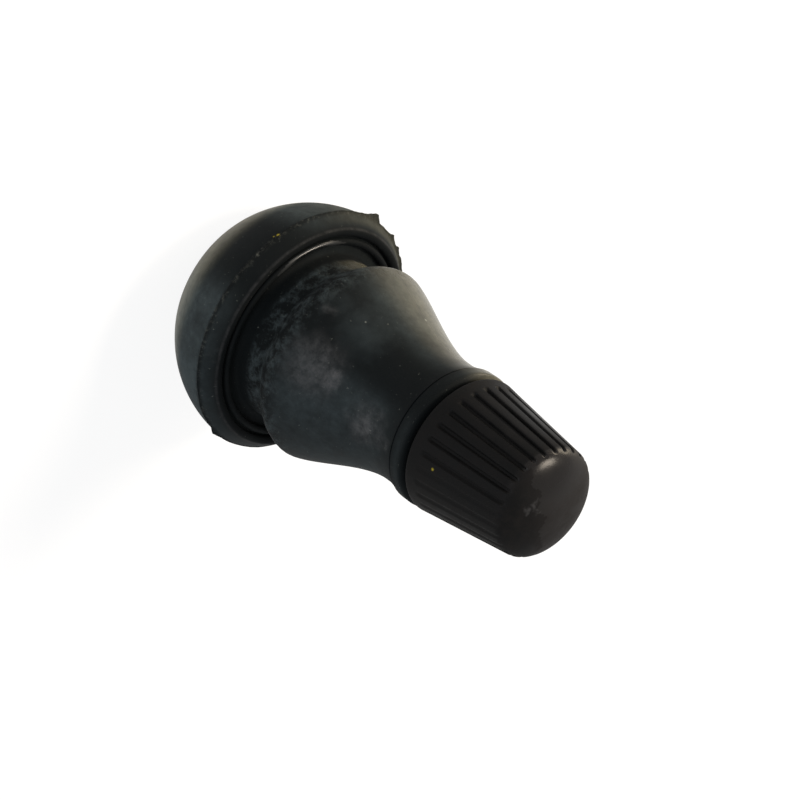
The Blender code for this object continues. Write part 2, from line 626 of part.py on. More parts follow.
def make_core_spring(mat, parent):
    """Round-wire coil between the barrel's foot and the pin's collar."""
    curve = bpy.data.curves.new("core_spring", "CURVE")
    curve.dimensions = "3D"
    curve.bevel_depth = SPRING_WIRE_RADIUS
    curve.bevel_resolution = 1
    curve.use_fill_caps = True
    low = SPRING_BASE_Z + SPRING_WIRE_RADIUS
    high = SPRING_TOP_Z - SPRING_WIRE_RADIUS
    closed_rise = 2 * SPRING_WIRE_RADIUS + SEAT_GAP
    open_turns = SPRING_TURNS - 2 * SPRING_CLOSED_TURNS
    open_rise = (high - low - 2 * SPRING_CLOSED_TURNS * closed_rise) / open_turns
    coil_radius = PIN_RADIUS + SPRING_PIN_GAP + SPRING_WIRE_RADIUS
    count = SPRING_TURNS * SPRING_POINTS_PER_TURN
    spline = curve.splines.new("POLY")
    spline.points.add(count)
    for index, point in enumerate(spline.points):
        turns = index / SPRING_POINTS_PER_TURN
        first = min(turns, SPRING_CLOSED_TURNS)
        last = max(0.0, turns - (SPRING_TURNS - SPRING_CLOSED_TURNS))
        z = low + closed_rise * (first + last) + open_rise * (turns - first - last)
        angle = math.tau * turns
        x = coil_radius * math.cos(angle)
        y = coil_radius * math.sin(angle)
        point.co = (x, y, z - SPRING_BASE_Z, 1)
    curve.materials.append(mat)
    spring = bpy.data.objects.new("core_spring", curve)
    bpy.context.collection.objects.link(spring)
    spring.parent = parent
    spring.location.z = SPRING_BASE_Z - parent.location.z
    return spring


def build_valve():
    """Clears the scene and builds every piece of the valve."""
    for old in list(bpy.data.objects):
        bpy.data.objects.remove(old, do_unlink=True)
    rubber = material("moulded_rubber", "24292b", 0.55)
    brass = material("turned_brass", "b08d4c", 0.32, 1.0)
    plug_brass = material("plug_brass", "b99550", 0.3, 1.0)
    barrel_brass = material("barrel_brass", "a98848", 0.34, 1.0)
    cup_brass = material("pressed_brass", "ad8a49", 0.35, 1.0)
    pin_steel = material("pin_steel", "a9abac", 0.3, 1.0)
    spring_steel = material("spring_steel", "9c9fa1", 0.28, 1.0)
    cap_plastic = material("cap_plastic", "1a1b1d", 0.4)
    seal_rubber = material("cap_seal_rubber", "8a2f24", 0.6)
    gasket_resin = material("gasket_resin", "9e2b22", 0.5)
    washer_rubber = material("washer_rubber", "202122", 0.6)
    cap_axis = axis_empty("cap_axis", CAP_BASE_Z)
    core_axis = axis_empty("core_axis", PLUG_BASE_Z)
    pin_axis = axis_empty("pin_axis", PIN_TOP_Z)
    make_rubber_body(rubber)
    make_stem(brass)
    make_cap(cap_plastic, cap_axis)
    make_cap_seal(seal_rubber, cap_axis)
    make_core_plug(plug_brass, core_axis)
    make_core_barrel(barrel_brass, core_axis)
    make_barrel_gasket(gasket_resin, core_axis)
    make_core_spring(spring_steel, core_axis)
    make_core_pin(pin_steel, pin_axis)
    make_core_cup(cup_brass, pin_axis)
    make_seat_washer(washer_rubber, pin_axis)


build_valve()
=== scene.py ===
"""Dresses the tyre valve's solids for a close look.

The valve stands on the flat of its head with its axis on +Z, in metres. Each
operator makes one piece, or one group of like pieces, and its finish.
"""

import math

import bmesh
import bpy
from bpy.props import FloatProperty, FloatVectorProperty, IntProperty, PointerProperty
from bpy.types import Operator, Panel, PropertyGroup
from mathutils import Matrix, Vector, noise


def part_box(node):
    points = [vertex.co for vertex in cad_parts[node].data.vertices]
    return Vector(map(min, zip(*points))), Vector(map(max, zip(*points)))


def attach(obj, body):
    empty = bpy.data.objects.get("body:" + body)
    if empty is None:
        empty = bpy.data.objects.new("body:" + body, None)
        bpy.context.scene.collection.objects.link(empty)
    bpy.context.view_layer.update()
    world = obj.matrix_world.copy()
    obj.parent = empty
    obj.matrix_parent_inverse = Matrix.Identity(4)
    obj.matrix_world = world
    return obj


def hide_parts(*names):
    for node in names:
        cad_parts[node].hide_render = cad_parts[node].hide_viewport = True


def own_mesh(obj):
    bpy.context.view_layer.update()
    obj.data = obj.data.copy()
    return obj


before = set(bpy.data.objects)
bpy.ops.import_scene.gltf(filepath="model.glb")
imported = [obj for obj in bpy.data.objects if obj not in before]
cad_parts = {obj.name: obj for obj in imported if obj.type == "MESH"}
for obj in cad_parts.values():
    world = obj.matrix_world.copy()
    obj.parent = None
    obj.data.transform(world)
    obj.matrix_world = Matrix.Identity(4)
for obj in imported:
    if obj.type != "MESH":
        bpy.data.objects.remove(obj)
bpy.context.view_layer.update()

bl_info = {
    "name": "Tyre valve",
    "version": (1, 0, 0),
    "blender": (4, 5, 0),
    "location": "3D View > Sidebar > Tyre valve",
    "description": "Builds a snap-in rubber tyre valve with its stem, core and screw cap",
    "category": "Add Mesh",
}

MM = 0.001
INCH = 0.0254

# Two points of a turned shape that lie closer than this are one
SEAM_REACH = 0.0004 * MM


def lowest(node):
    """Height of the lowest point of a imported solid."""
    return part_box(node)[0].z


def highest(node):
    """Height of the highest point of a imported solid."""
    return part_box(node)[1].z


def widest(node):
    """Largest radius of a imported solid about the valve's axis."""
    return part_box(node)[1].x


COLLAR_TOP = highest("rubber_body")
STEM_BASE = lowest("stem")
STEM_TOP = highest("stem")
CAP_BASE = lowest("cap")
CAP_TOP = highest("cap")
SEAL_BASE = lowest("cap_seal")
SEAL_TOP = highest("cap_seal")
PLUG_BASE = lowest("core_plug")
BRIDGE_TOP = highest("core_plug")
BARREL_BASE = lowest("core_barrel")
BARREL_TOP = highest("core_barrel")
GASKET_BASE = lowest("barrel_gasket")
GASKET_TOP = highest("barrel_gasket")
PIN_BASE = lowest("core_pin")
PIN_TOP = highest("core_pin")
CUP_BASE = lowest("core_cup")
CUP_TOP = highest("core_cup")
WASHER_BASE = lowest("seat_washer")
WASHER_TOP = highest("seat_washer")
SPRING_BASE = lowest("core_spring")
SPRING_TOP = highest("core_spring")


def linear(hex_colour):
    """Linear light values of an sRGB hex colour."""
    values = []
    for place in (0, 2, 4):
        share = int(hex_colour[place:place + 2], 16) / 255
        values.append(share / 12.92 if share <= 0.04045 else ((share + 0.055) / 1.055) ** 2.4)
    return tuple(values)


def length(name, description, default):
    """A property that holds a length in metres."""
    return FloatProperty(name=name, description=description, default=default, unit="LENGTH", precision=5)


def amount(name, description, default):
    """A property that holds a plain number."""
    return FloatProperty(name=name, description=description, default=default)


def colour(name, description, hex_colour):
    """A property that holds a surface colour."""
    return FloatVectorProperty(
        name=name, description=description, default=linear(hex_colour), subtype="COLOR", size=3, min=0, max=1
    )


class ValveSizes(PropertyGroup):
    """Sizes of the valve's visible shapes."""

    head_radius: length("Head radius", "Radius of the moulded head at its parting line", 9.5 * MM)
    head_flat: length("Head flat", "Radius of the flat that the valve stands on", 4.1 * MM)
    parting_height: length("Parting height", "Height of the head's parting line", 7.05 * MM)
    shoulder_height: length("Shoulder height", "Height of the shoulder that bears on the wheel", 8.32 * MM)
    flash_reach: length("Flash reach", "How far the moulding flash stands out before it is torn", 0.1 * MM)
    bead_radius: length("Bead radius", "Radius of the sealing bead on the shoulder", 7.65 * MM)
    groove_radius: length("Groove radius", "Radius of the floor of the wheel groove", 6.55 * MM)
    bulge_radius: length("Bulge radius", "Radius of the sleeve just above the wheel groove", 7.72 * MM)
    waist_radius: length("Waist radius", "Radius of the sleeve where it is slimmest", 5.05 * MM)
    collar_radius: length("Collar radius", "Radius of the band at the top of the rubber", 5.42 * MM)
    stem_thread: length("Stem thread radius", "Outer radius of the thread that takes the cap", 3.87 * MM)
    stem_pitch: length("Stem thread pitch", "Rise of the stem's thread in one turn", INCH / 32)
    core_thread: length("Core thread radius", "Outer radius of the core's thread", 2.6 * MM)
    core_pitch: length("Core thread pitch", "Rise of the core's thread in one turn", INCH / 36)
    cap_base: length("Cap base radius", "Radius of the cap at its open end", 5.4 * MM)
    cap_shoulder: length("Cap shoulder radius", "Radius of the cap where its dome starts", 4.42 * MM)
    cap_dome: length("Cap dome height", "Height of the cap's domed end", 1.65 * MM)
    cap_band: length("Cap band height", "Height of the plain band under the cap's flutes", 0.95 * MM)
    flute_depth: length("Flute depth", "Depth of the cap's grip flutes", 0.24 * MM)
    flute_count: IntProperty(
        name="Flutes", description="Number of grip flutes round the cap", default=28, min=8
    )


class ValveColours(PropertyGroup):
    """Colours of the valve's materials."""

    rubber: colour("Rubber", "Moulded rubber", "06090a")
    bloom: colour("Bloom", "Haze that comes out on old rubber", "32393b")
    # Pale colour of the painted highlight on one side of the rubber and of the painted reflection low on its
    # head
    painted_sheen: colour("Haze", "Dry film left on one side of the rubber", "94917f")
    dust: colour("Dust", "Dry dust caught in the rubber", "8a8d86")
    cap: colour("Cap", "Black moulded plastic", "060606")
    rubbed_cap: colour("Rubbed plastic", "Cap plastic where hands have rubbed it grey", "211e1d")
    # Grey of a real scuff on the cap, and of painted reflections and a painted highlight on the rubber
    scuff_and_reflection: colour("Scuff", "Rubber that has been rubbed grey", "4b4b4c")
    brass: colour("Brass", "Turned brass", "c09a52")
    steel: colour("Steel", "Drawn steel", "b4b6b8")
    seal: colour("Seal", "Red sealing rubber", "8a2f24")
    gasket: colour("Gasket", "Red sealing resin on the core", "9e2b22")
    crumb: colour("Crumb", "Yellow crumbs of dirt", "a3942f")
    floor: colour("Floor", "Studio floor", "f2f2f2")


class ValveStage(PropertyGroup):
    """Camera and lamps."""

    camera_distance: length("Camera distance", "Distance from the camera to the valve", 1.0)
    lens: amount("Lens", "Focal length in millimetres", 630.1)
    side_power: amount("Side power", "Power of the broad lamp in front, in watts", 1.9)
    rim_power: amount("Rim power", "Power of the broad lamp behind, in watts", 3.0)
    key_power: amount("Key power", "Power of the small lamp above, in watts", 3.1)
    fill_level: amount("Fill", "Brightness of the studio around the valve", 0.3)


def rounded_wire(points, closed=True, rounds=()):
    """A polyline of (radius, height) pairs in a new bmesh, with some corners rounded.

    Each entry of rounds is a list of corner numbers, the length taken off
    either side of the corner, and the number of segments.
    """
    bm = bmesh.new()
    verts = [bm.verts.new((radius, 0, height)) for radius, height in points]
    for pair in zip(verts, verts[1:]):
        bm.edges.new(pair)
    if closed:
        bm.edges.new((verts[-1], verts[0]))
    for corners, size, segments in rounds:
        bmesh.ops.bevel(
            bm,
            geom=[verts[corner] for corner in corners],
            offset=size,
            offset_type="OFFSET",
            segments=segments,
            profile=0.5,
            affect="VERTICES",
            material=-1,
        )
    return bm


def refine(bm, step, low=-1.0, high=1.0, reach=0.0):
    """Cuts the edges of a wire that lie in a range of heights to a largest length."""
    for edge in list(bm.edges):
        heights = [vert.co.z for vert in edge.verts]
        radii = [vert.co.x for vert in edge.verts]
        if min(heights) < low or max(heights) > high or min(radii) < reach:
            continue
        cuts = math.ceil(edge.calc_length() / step - 0.01) - 1
        if cuts > 0:
            bmesh.ops.subdivide_edges(bm, edges=[edge], cuts=cuts)


def spin_round(bm, segments):
    """Turns a wire about the valve's axis into a closed solid."""
    bmesh.ops.spin(
        bm,
        geom=bm.verts[:] + bm.edges[:],
        cent=(0, 0, 0),
        axis=(0, 0, 1),
        angle=math.tau,
        steps=segments,
        use_merge=True,
    )
    bmesh.ops.remove_doubles(bm, verts=bm.verts[:], dist=SEAM_REACH)
    bmesh.ops.recalc_face_normals(bm, faces=bm.faces[:])


def finish_piece(name, bm, material, body, nodes, sharp=34):
    """Makes a piece of a bmesh, sets its finish and joins it to a body of the valve."""
    mesh = bpy.data.meshes.new(name)
    bm.to_mesh(mesh)
    bm.free()
    mesh.materials.append(material)
    mesh.shade_smooth()
    mesh.set_sharp_from_angle(angle=math.radians(sharp))
    piece = bpy.data.objects.new(name, mesh)
    bpy.context.scene.collection.objects.link(piece)
    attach(piece, body)
    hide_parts(*nodes)
    return piece


def smooth_step(value):
    """Eases from 0 to 1 as a value goes from 0 to 1."""
    value = max(0.0, min(1.0, value))
    return value * value * (3 - 2 * value)


def between(value, low, high, edge):
    """1 inside a range and 0 outside it, eased over an edge at both ends."""
    return smooth_step((value - low) / edge + 1) * smooth_step((high - value) / edge + 1)


def polar(vert):
    """Radius and azimuth of a vertex about the valve's axis."""
    return math.hypot(vert.co.x, vert.co.y), math.atan2(vert.co.y, vert.co.x) % math.tau


def set_radius(vert, radius, turn):
    """Moves a vertex to a radius at an azimuth, at its own height."""
    vert.co.x = radius * math.cos(turn)
    vert.co.y = radius * math.sin(turn)


def arc(centre_r, centre_z, radius, start_deg, end_deg, steps):
    """Points along a round of a profile."""
    points = []
    for step in range(steps + 1):
        angle = math.radians(start_deg + (end_deg - start_deg) * step / steps)
        points.append((centre_r + radius * math.cos(angle), centre_z + radius * math.sin(angle)))
    return points


def bezier(start, first, second, end, steps):
    """Points along a cubic curve of a profile, without its first point."""
    points = []
    for step in range(1, steps + 1):
        t = step / steps
        weights = ((1 - t) ** 3, 3 * t * (1 - t) ** 2, 3 * t * t * (1 - t), t ** 3)
        corners = (start, first, second, end)
        points.append(tuple(sum(w * p[axis] for w, p in zip(weights, corners)) for axis in (0, 1)))
    return points


def thread_share(height, turn, pitch, crest, root, start=0.0):
    """Share of the full thread at a point, from 0 at its root to 1 at its crest.

    Crest and root are the parts of the pitch that are flat there.
    """
    phase = (height / pitch - turn / math.tau - start) % 1.0
    across = abs(phase - 0.5) * 2
    return max(0.0, min(1.0, (1 - root - across) / (1 - root - crest)))


# Settings that several shader nodes share
EASED = {"interpolation_type": "SMOOTHSTEP"}
MULTIPLY = {"operation": "MULTIPLY"}
MULTIPLY_ADD = {"operation": "MULTIPLY_ADD"}
MAXIMUM = {"operation": "MAXIMUM"}
SUBTRACT = {"operation": "SUBTRACT"}
ABSOLUTE = {"operation": "ABSOLUTE"}
DISTANCE = {"operation": "DISTANCE"}
DOT_PRODUCT = {"operation": "DOT_PRODUCT"}
COLOUR_MIX = {"data_type": "RGBA"}
NUMBER_MIX = {"data_type": "FLOAT"}


def add_node(tree, kind, settings=None, links=None):
    """Adds a shader node with its settings, and links or sets its inputs."""
    node = tree.nodes.new(kind)
    for name, value in (settings or {}).items():
        setattr(node, name, value)
    for name, source in (links or {}).items():
        if isinstance(source, bpy.types.NodeSocket):
            tree.links.new(source, node.inputs[name])
        else:
            node.inputs[name].default_value = source
    return node


def new_material(name, roughness, metallic=0.0, gloss=0.5):
    """A material with its shader and its coordinates in millimetres."""
    material = bpy.data.materials.new(name)
    material.use_nodes = True
    tree = material.node_tree
    shader = tree.nodes["Principled BSDF"]
    shader.inputs["Roughness"].default_value = roughness
    shader.inputs["Metallic"].default_value = metallic
    shader.inputs["Specular IOR Level"].default_value = gloss
    place = add_node(tree, "ShaderNodeTexCoord")
    scaled = add_node(
        tree,
        "ShaderNodeMapping",
        None,
        {"Vector": place.outputs["Object"], "Scale": (1 / MM, 1 / MM, 1 / MM)},
    )
    return material, tree, shader, scaled.outputs["Vector"]


# Share of bloom on the rubber by height in millimetres: partly real bloom and partly painted light and
# shade, lighter on the head and sleeve and dark in the recesses as painted shade
BLOOM_AND_SHADE_BY_HEIGHT = (
    *((0.0, 0.85), (6.8, 0.65), (7.4, 0.3), (7.9, 0.16), (8.15, 0.0), (9.2, 0.0), (10.2, 0.16), (12.2, 0.3)),
    *((14.6, 0.42), (18.0, 0.42), (20.6, 0.34), (22.6, 0.1), (23.3, 0.02), (23.9, 0.16), (24.5, 0.02)),
)

# The side of the rubber that has been wiped clean, and the side that handling has polished, which also
# carries a pale painted highlight
STREAK_SIDE = (-0.31, -0.95, 0.0)
POLISHED_AND_SHEEN_SIDE = (-0.98, 0.17, 0.0)

# Grey patches on the rubber, scuffs and painted reflections: place in millimetres, radius and strength
SCUFFS_AND_REFLECTIONS = (
    ((1.5, -6.5, 15.1), 3.2, 0.55),
    ((1.64, -5.92, 16.46), 1.2, 0.75),
    ((0.9, -6.7, 14.2), 1.1, 0.55),
    ((2.7, -4.4, 20.2), 2.4, 0.5),
    ((3.13, -4.06, 22.39), 0.9, 0.3),
    ((-2.3, -6.75, 13.7), 0.8, 0.25),
    ((5.2, -7.6, 8.0), 0.6, 0.3),
)

# Clouds of bloom that the wiping left: place in millimetres, radius and strength
BLOOM_PATCHES = (
    ((-2.9, -6.0, 16.6), 3.0, 0.5),
    ((-3.3, -6.3, 13.9), 1.8, 0.25),
)

# Single specks of pale dust on the rubber: place in millimetres and radius
SPECKS = (
    ((-5.76, -1.48, 16.99), 0.16),
    ((-3.16, -5.55, 15.81), 0.12),
    ((-2.3, -6.75, 13.7), 0.14),
    ((3.9, -6.15, 12.9), 0.12),
    ((-1.3, -9.2, 6.4), 0.12),
)

# Middles of the parts of the bead, of the cap's dome and of its side that are rubbed smooth
BEAD_POLISH = (-5.1, -5.7, 8.3)
DOME_POLISH = (-2.6, -2.7, 34.2)
SIDE_POLISH = (-4.8, -1.6, 29.5)

# The side of the cap's dome that is left darker and duller
DULL_SIDE = (0.8, -0.6, 0.0)

# Grey scuff on the cap's dome: place in millimetres, radius and strength
DOME_SCUFF = ((0.7, -2.2, 34.8), 0.75, 0.4)

# Yellow crumbs of dirt: place in millimetres and radius
BODY_CRUMBS = (((-4.65, -8.23, 6.95), 0.2), ((-4.4, -8.42, 6.8), 0.12))
CAP_CRUMBS = (((2.58, -4.42, 27.35), 0.17),)


def marks(tree, place, spots):
    """Share of a group of round marks at each point, each given by its place, radius and strength."""
    total = None
    for centre, radius, strength in spots:
        away = add_node(tree, "ShaderNodeVectorMath", DISTANCE, {0: place, 1: centre})
        share = add_node(
            tree,
            "ShaderNodeMapRange",
            EASED,
            {
                "Value": away.outputs["Value"],
                "From Min": 0.0,
                "From Max": radius,
                "To Min": strength,
                "To Max": 0.0,
            },
        ).outputs["Result"]
        if total is not None:
            share = add_node(tree, "ShaderNodeMath", MAXIMUM, {0: total, 1: share}).outputs[0]
        total = share
    return total


def fine_skin(tree, shader, place, scale, detail, strength, depth):
    """Roughens a surface with a noise so fine that it only breaks up the gleams."""
    grain = add_node(tree, "ShaderNodeTexNoise", None, {"Vector": place, "Scale": scale, "Detail": detail})
    bump = add_node(
        tree,
        "ShaderNodeBump",
        None,
        {"Height": grain.outputs["Fac"], "Strength": strength, "Distance": depth},
    )
    tree.links.new(bump.outputs["Normal"], shader.inputs["Normal"])


def moulded_rubber(colours, sizes):
    """Old moulded rubber: near black and matt, with a blue-grey bloom, scuffs and a torn wheel groove, and
    painted light: a painted highlight, painted reflections, and painted shade in the recesses and under the
    flash.
    """
    material, tree, shader, place = new_material("moulded_rubber", 0.75, gloss=0.08)
    split = add_node(tree, "ShaderNodeSeparateXYZ", None, {"Vector": place})
    height = split.outputs["Z"]
    flat = add_node(tree, "ShaderNodeVectorMath", MULTIPLY, {0: place, 1: (1.0, 1.0, 0.0)})
    reach = add_node(tree, "ShaderNodeVectorMath", {"operation": "LENGTH"}, {0: flat.outputs["Vector"]})
    reach = reach.outputs["Value"]

    # Bloom, with its painted light and shade, follows the height, in clouds some 4 mm across that break up
    # into 0.7 mm mottle
    top = BLOOM_AND_SHADE_BY_HEIGHT[-1][0]
    along = add_node(tree, "ShaderNodeMath", {"operation": "DIVIDE"}, {0: height, 1: top})
    bloom_and_shade_level = add_node(tree, "ShaderNodeValToRGB", None, {"Fac": along.outputs[0]})
    stops = bloom_and_shade_level.color_ramp.elements
    for number, (spot, share) in enumerate(BLOOM_AND_SHADE_BY_HEIGHT):
        stop = stops[number] if number < 2 else stops.new(spot / top)
        stop.position = spot / top
        stop.color = (share, share, share, 1)
    clouds = add_node(
        tree, "ShaderNodeTexNoise", None, {"Vector": place, "Scale": 0.24, "Detail": 5.0, "Roughness": 0.62}
    )
    cloud_share = add_node(
        tree,
        "ShaderNodeMapRange",
        None,
        {
            "Value": clouds.outputs["Fac"],
            "From Min": 0.34,
            "From Max": 0.66,
            "To Min": 0.45,
            "To Max": 1.55,
        },
    )
    mottle = add_node(
        tree, "ShaderNodeTexNoise", None, {"Vector": place, "Scale": 1.4, "Detail": 4.0, "Roughness": 0.7}
    )
    mottle_share = add_node(
        tree,
        "ShaderNodeMapRange",
        None,
        {"Value": mottle.outputs["Fac"], "From Min": 0.3, "From Max": 0.7, "To Min": 0.72, "To Max": 1.28},
    )
    share = add_node(
        tree, "ShaderNodeMath", MULTIPLY, {0: bloom_and_shade_level.outputs["Color"], 1: cloud_share.outputs["Result"]}
    )
    share = add_node(
        tree, "ShaderNodeMath", MULTIPLY, {0: share.outputs[0], 1: mottle_share.outputs["Result"]}
    )

    # A streak along one side has been wiped clean, from the head to the collar
    facing = add_node(tree, "ShaderNodeVectorMath", {"operation": "NORMALIZE"}, {0: flat.outputs["Vector"]})
    streak = add_node(
        tree, "ShaderNodeVectorMath", DOT_PRODUCT, {0: facing.outputs["Vector"], 1: STREAK_SIDE}
    )
    wiped = add_node(
        tree,
        "ShaderNodeMapRange",
        EASED,
        {
            "Value": streak.outputs["Value"],
            "From Min": 0.84,
            "From Max": 0.985,
            "To Min": 1.0,
            "To Max": 0.06,
        },
    )
    share = add_node(tree, "ShaderNodeMath", MULTIPLY, {0: share.outputs[0], 1: wiped.outputs["Result"]})

    # Scuffs with their painted reflections, and bloom patches, have ragged edges, so their places are shaken
    # by up to 1.2 mm
    shake = add_node(tree, "ShaderNodeTexNoise", None, {"Vector": place, "Scale": 0.9, "Detail": 4.0})
    shake = add_node(
        tree, "ShaderNodeVectorMath", SUBTRACT, {0: shake.outputs["Color"], 1: (0.5, 0.5, 0.5)}
    )
    shaken = add_node(
        tree,
        "ShaderNodeVectorMath",
        MULTIPLY_ADD,
        {0: shake.outputs["Vector"], 1: (2.4, 2.4, 2.4), 2: place},
    )
    patch = marks(tree, shaken.outputs["Vector"], BLOOM_PATCHES)
    share = add_node(
        tree, "ShaderNodeMath", {"operation": "ADD", "use_clamp": True}, {0: share.outputs[0], 1: patch}
    )
    scuffs_and_highlight = marks(tree, shaken.outputs["Vector"], SCUFFS_AND_REFLECTIONS)

    # A painted highlight runs grey along the edge of the lip all round, in a faint line about 0.15 mm wide
    off_lip_highlight = add_node(tree, "ShaderNodeMath", SUBTRACT, {0: reach, 1: sizes.head_radius / MM - 0.8})
    off_lip_highlight = add_node(tree, "ShaderNodeMath", ABSOLUTE, {0: off_lip_highlight.outputs[0]})
    edge = add_node(
        tree,
        "ShaderNodeMapRange",
        EASED,
        {"Value": off_lip_highlight.outputs[0], "From Min": 0.02, "From Max": 0.11, "To Min": 0.2, "To Max": 0.0},
    )
    high_up = add_node(
        tree,
        "ShaderNodeMath",
        {"operation": "GREATER_THAN"},
        {0: height, 1: sizes.shoulder_height / MM - 0.3},
    )
    edge = add_node(tree, "ShaderNodeMath", MULTIPLY, {0: edge.outputs["Result"], 1: high_up.outputs[0]})
    scuffs_and_highlight = add_node(tree, "ShaderNodeMath", MAXIMUM, {0: scuffs_and_highlight, 1: edge.outputs[0]}).outputs[0]
    patchy = add_node(
        tree,
        "ShaderNodeMapRange",
        None,
        {"Value": mottle.outputs["Fac"], "From Min": 0.36, "From Max": 0.64, "To Min": 0.3, "To Max": 1.2},
    )
    scuffs_and_highlight = add_node(tree, "ShaderNodeMath", MULTIPLY, {0: scuffs_and_highlight, 1: patchy.outputs["Result"]})

    # The groove's skin is torn and blotched, in marks about 1 mm across
    groove_low = sizes.shoulder_height / MM + 0.4
    groove = add_node(
        tree,
        "ShaderNodeMapRange",
        EASED,
        {"Value": height, "From Min": groove_low, "From Max": groove_low + 0.7},
    )
    above = add_node(
        tree,
        "ShaderNodeMapRange",
        EASED,
        {"Value": height, "From Min": 11.9, "From Max": 13.9, "To Min": 1.0, "To Max": 0.0},
    )
    band = add_node(
        tree, "ShaderNodeMath", MULTIPLY, {0: groove.outputs["Result"], 1: above.outputs["Result"]}
    )
    blotches = add_node(
        tree,
        "ShaderNodeTexNoise",
        None,
        {"Vector": place, "Scale": 1.05, "Detail": 8.0, "Roughness": 0.74, "Distortion": 0.2},
    )
    blotch_share = add_node(
        tree,
        "ShaderNodeMapRange",
        None,
        {
            "Value": blotches.outputs["Fac"],
            "From Min": 0.45,
            "From Max": 0.66,
            "To Min": 0.0,
            "To Max": 1.0,
        },
    )
    share = add_node(
        tree,
        "ShaderNodeMix",
        NUMBER_MIX,
        {"Factor": band.outputs[0], "A": share.outputs[0], "B": blotch_share.outputs["Result"]},
    )

    # Bloom is taken off the torn parting line as a painted shadow of the flash, so that it stands dark
    # between the pale flecks of its dust
    off_seam = add_node(tree, "ShaderNodeMath", SUBTRACT, {0: height, 1: sizes.parting_height / MM})
    off_seam = add_node(tree, "ShaderNodeMath", ABSOLUTE, {0: off_seam.outputs[0]})
    seam = add_node(
        tree,
        "ShaderNodeMapRange",
        EASED,
        {"Value": off_seam.outputs[0], "From Min": 0.05, "From Max": 0.34, "To Min": 1.0, "To Max": 0.0},
    )
    seam_shadow = add_node(
        tree, "ShaderNodeMapRange", None, {"Value": seam.outputs["Result"], "To Min": 1.0, "To Max": 0.25}
    )
    share = add_node(
        tree, "ShaderNodeMath", MULTIPLY, {0: share.outputs["Result"], 1: seam_shadow.outputs["Result"]}
    )
    # Bloom over the bare rubber; its share also carries painted shade in the recesses, painted light on the
    # head and the seam's painted shadow
    tone = add_node(
        tree,
        "ShaderNodeMix",
        COLOUR_MIX,
        {"Factor": share.outputs[0], "A": (*colours.rubber, 1), "B": (*colours.bloom, 1)},
    )
    # Grey of the scuffs, which also carries painted reflections on the sleeve and the lip's painted
    # highlight
    tone = add_node(
        tree,
        "ShaderNodeMix",
        COLOUR_MIX,
        {"Factor": scuffs_and_highlight.outputs[0], "A": tone.outputs["Result"], "B": (*colours.scuff_and_reflection, 1)},
    )

    # A pale colour is painted on one side as a painted rim highlight and, thinner, low on the head as a
    # painted reflection
    handled = add_node(
        tree, "ShaderNodeVectorMath", DOT_PRODUCT, {0: facing.outputs["Vector"], 1: POLISHED_AND_SHEEN_SIDE}
    )
    side_sheen = add_node(
        tree,
        "ShaderNodeMapRange",
        EASED,
        {"Value": handled.outputs["Value"], "From Min": 0.6, "From Max": 1.1, "To Min": 0.0, "To Max": 0.3},
    )
    head_sheen = add_node(
        tree,
        "ShaderNodeMapRange",
        EASED,
        {"Value": height, "From Min": 1.8, "From Max": 4.7, "To Min": 0.34, "To Max": 0.0},
    )
    below = add_node(
        tree,
        "ShaderNodeMapRange",
        EASED,
        {"Value": height, "From Min": 7.5, "From Max": 8.0, "To Min": 0.3, "To Max": 0.0},
    )
    off_lip = add_node(
        tree,
        "ShaderNodeMath",
        {"operation": "ADD"},
        {0: groove.outputs["Result"], 1: below.outputs["Result"]},
    )
    sheen_share = add_node(tree, "ShaderNodeMath", MULTIPLY, {0: side_sheen.outputs["Result"], 1: off_lip.outputs[0]})
    sheen_share = add_node(tree, "ShaderNodeMath", MAXIMUM, {0: sheen_share.outputs[0], 1: head_sheen.outputs["Result"]})
    sheen_share = add_node(
        tree, "ShaderNodeMath", MULTIPLY, {0: sheen_share.outputs[0], 1: mottle_share.outputs["Result"]}
    )
    tone = add_node(
        tree,
        "ShaderNodeMix",
        COLOUR_MIX,
        {"Factor": sheen_share.outputs[0], "A": tone.outputs["Result"], "B": (*colours.painted_sheen, 1)},
    )

    # Pale dust sits on the parting line, in a few specks and, as a fine powder, all over
    grit = add_node(
        tree, "ShaderNodeTexNoise", None, {"Vector": place, "Scale": 3.2, "Detail": 4.0, "Roughness": 0.7}
    )
    seam_grit = add_node(
        tree,
        "ShaderNodeMapRange",
        None,
        {"Value": grit.outputs["Fac"], "From Min": 0.5, "From Max": 0.76, "To Min": 0.0, "To Max": 0.2},
    )
    on_seam = add_node(
        tree, "ShaderNodeMath", MULTIPLY, {0: seam.outputs["Result"], 1: seam_grit.outputs["Result"]}
    )
    on_seam = add_node(
        tree, "ShaderNodeMath", MULTIPLY, {0: on_seam.outputs[0], 1: patchy.outputs["Result"]}
    )
    powder = add_node(
        tree,
        "ShaderNodeMapRange",
        None,
        {"Value": grit.outputs["Fac"], "From Min": 0.66, "From Max": 0.76, "To Min": 0.0, "To Max": 0.3},
    )
    lone = marks(tree, place, [(centre, radius, 0.9) for centre, radius in SPECKS])
    dust = add_node(tree, "ShaderNodeMath", MAXIMUM, {0: on_seam.outputs[0], 1: powder.outputs["Result"]})
    dust = add_node(tree, "ShaderNodeMath", MAXIMUM, {0: dust.outputs[0], 1: lone})
    dusty = add_node(
        tree,
        "ShaderNodeMix",
        COLOUR_MIX,
        {"Factor": dust.outputs[0], "A": tone.outputs["Result"], "B": (*colours.dust, 1)},
    )
    crumbs = marks(tree, place, [(centre, radius, 0.9) for centre, radius in BODY_CRUMBS])
    crumbed = add_node(
        tree,
        "ShaderNodeMix",
        COLOUR_MIX,
        {"Factor": crumbs, "A": dusty.outputs["Result"], "B": (*colours.crumb, 1)},
    )
    tree.links.new(crumbed.outputs["Result"], shader.inputs["Base Color"])

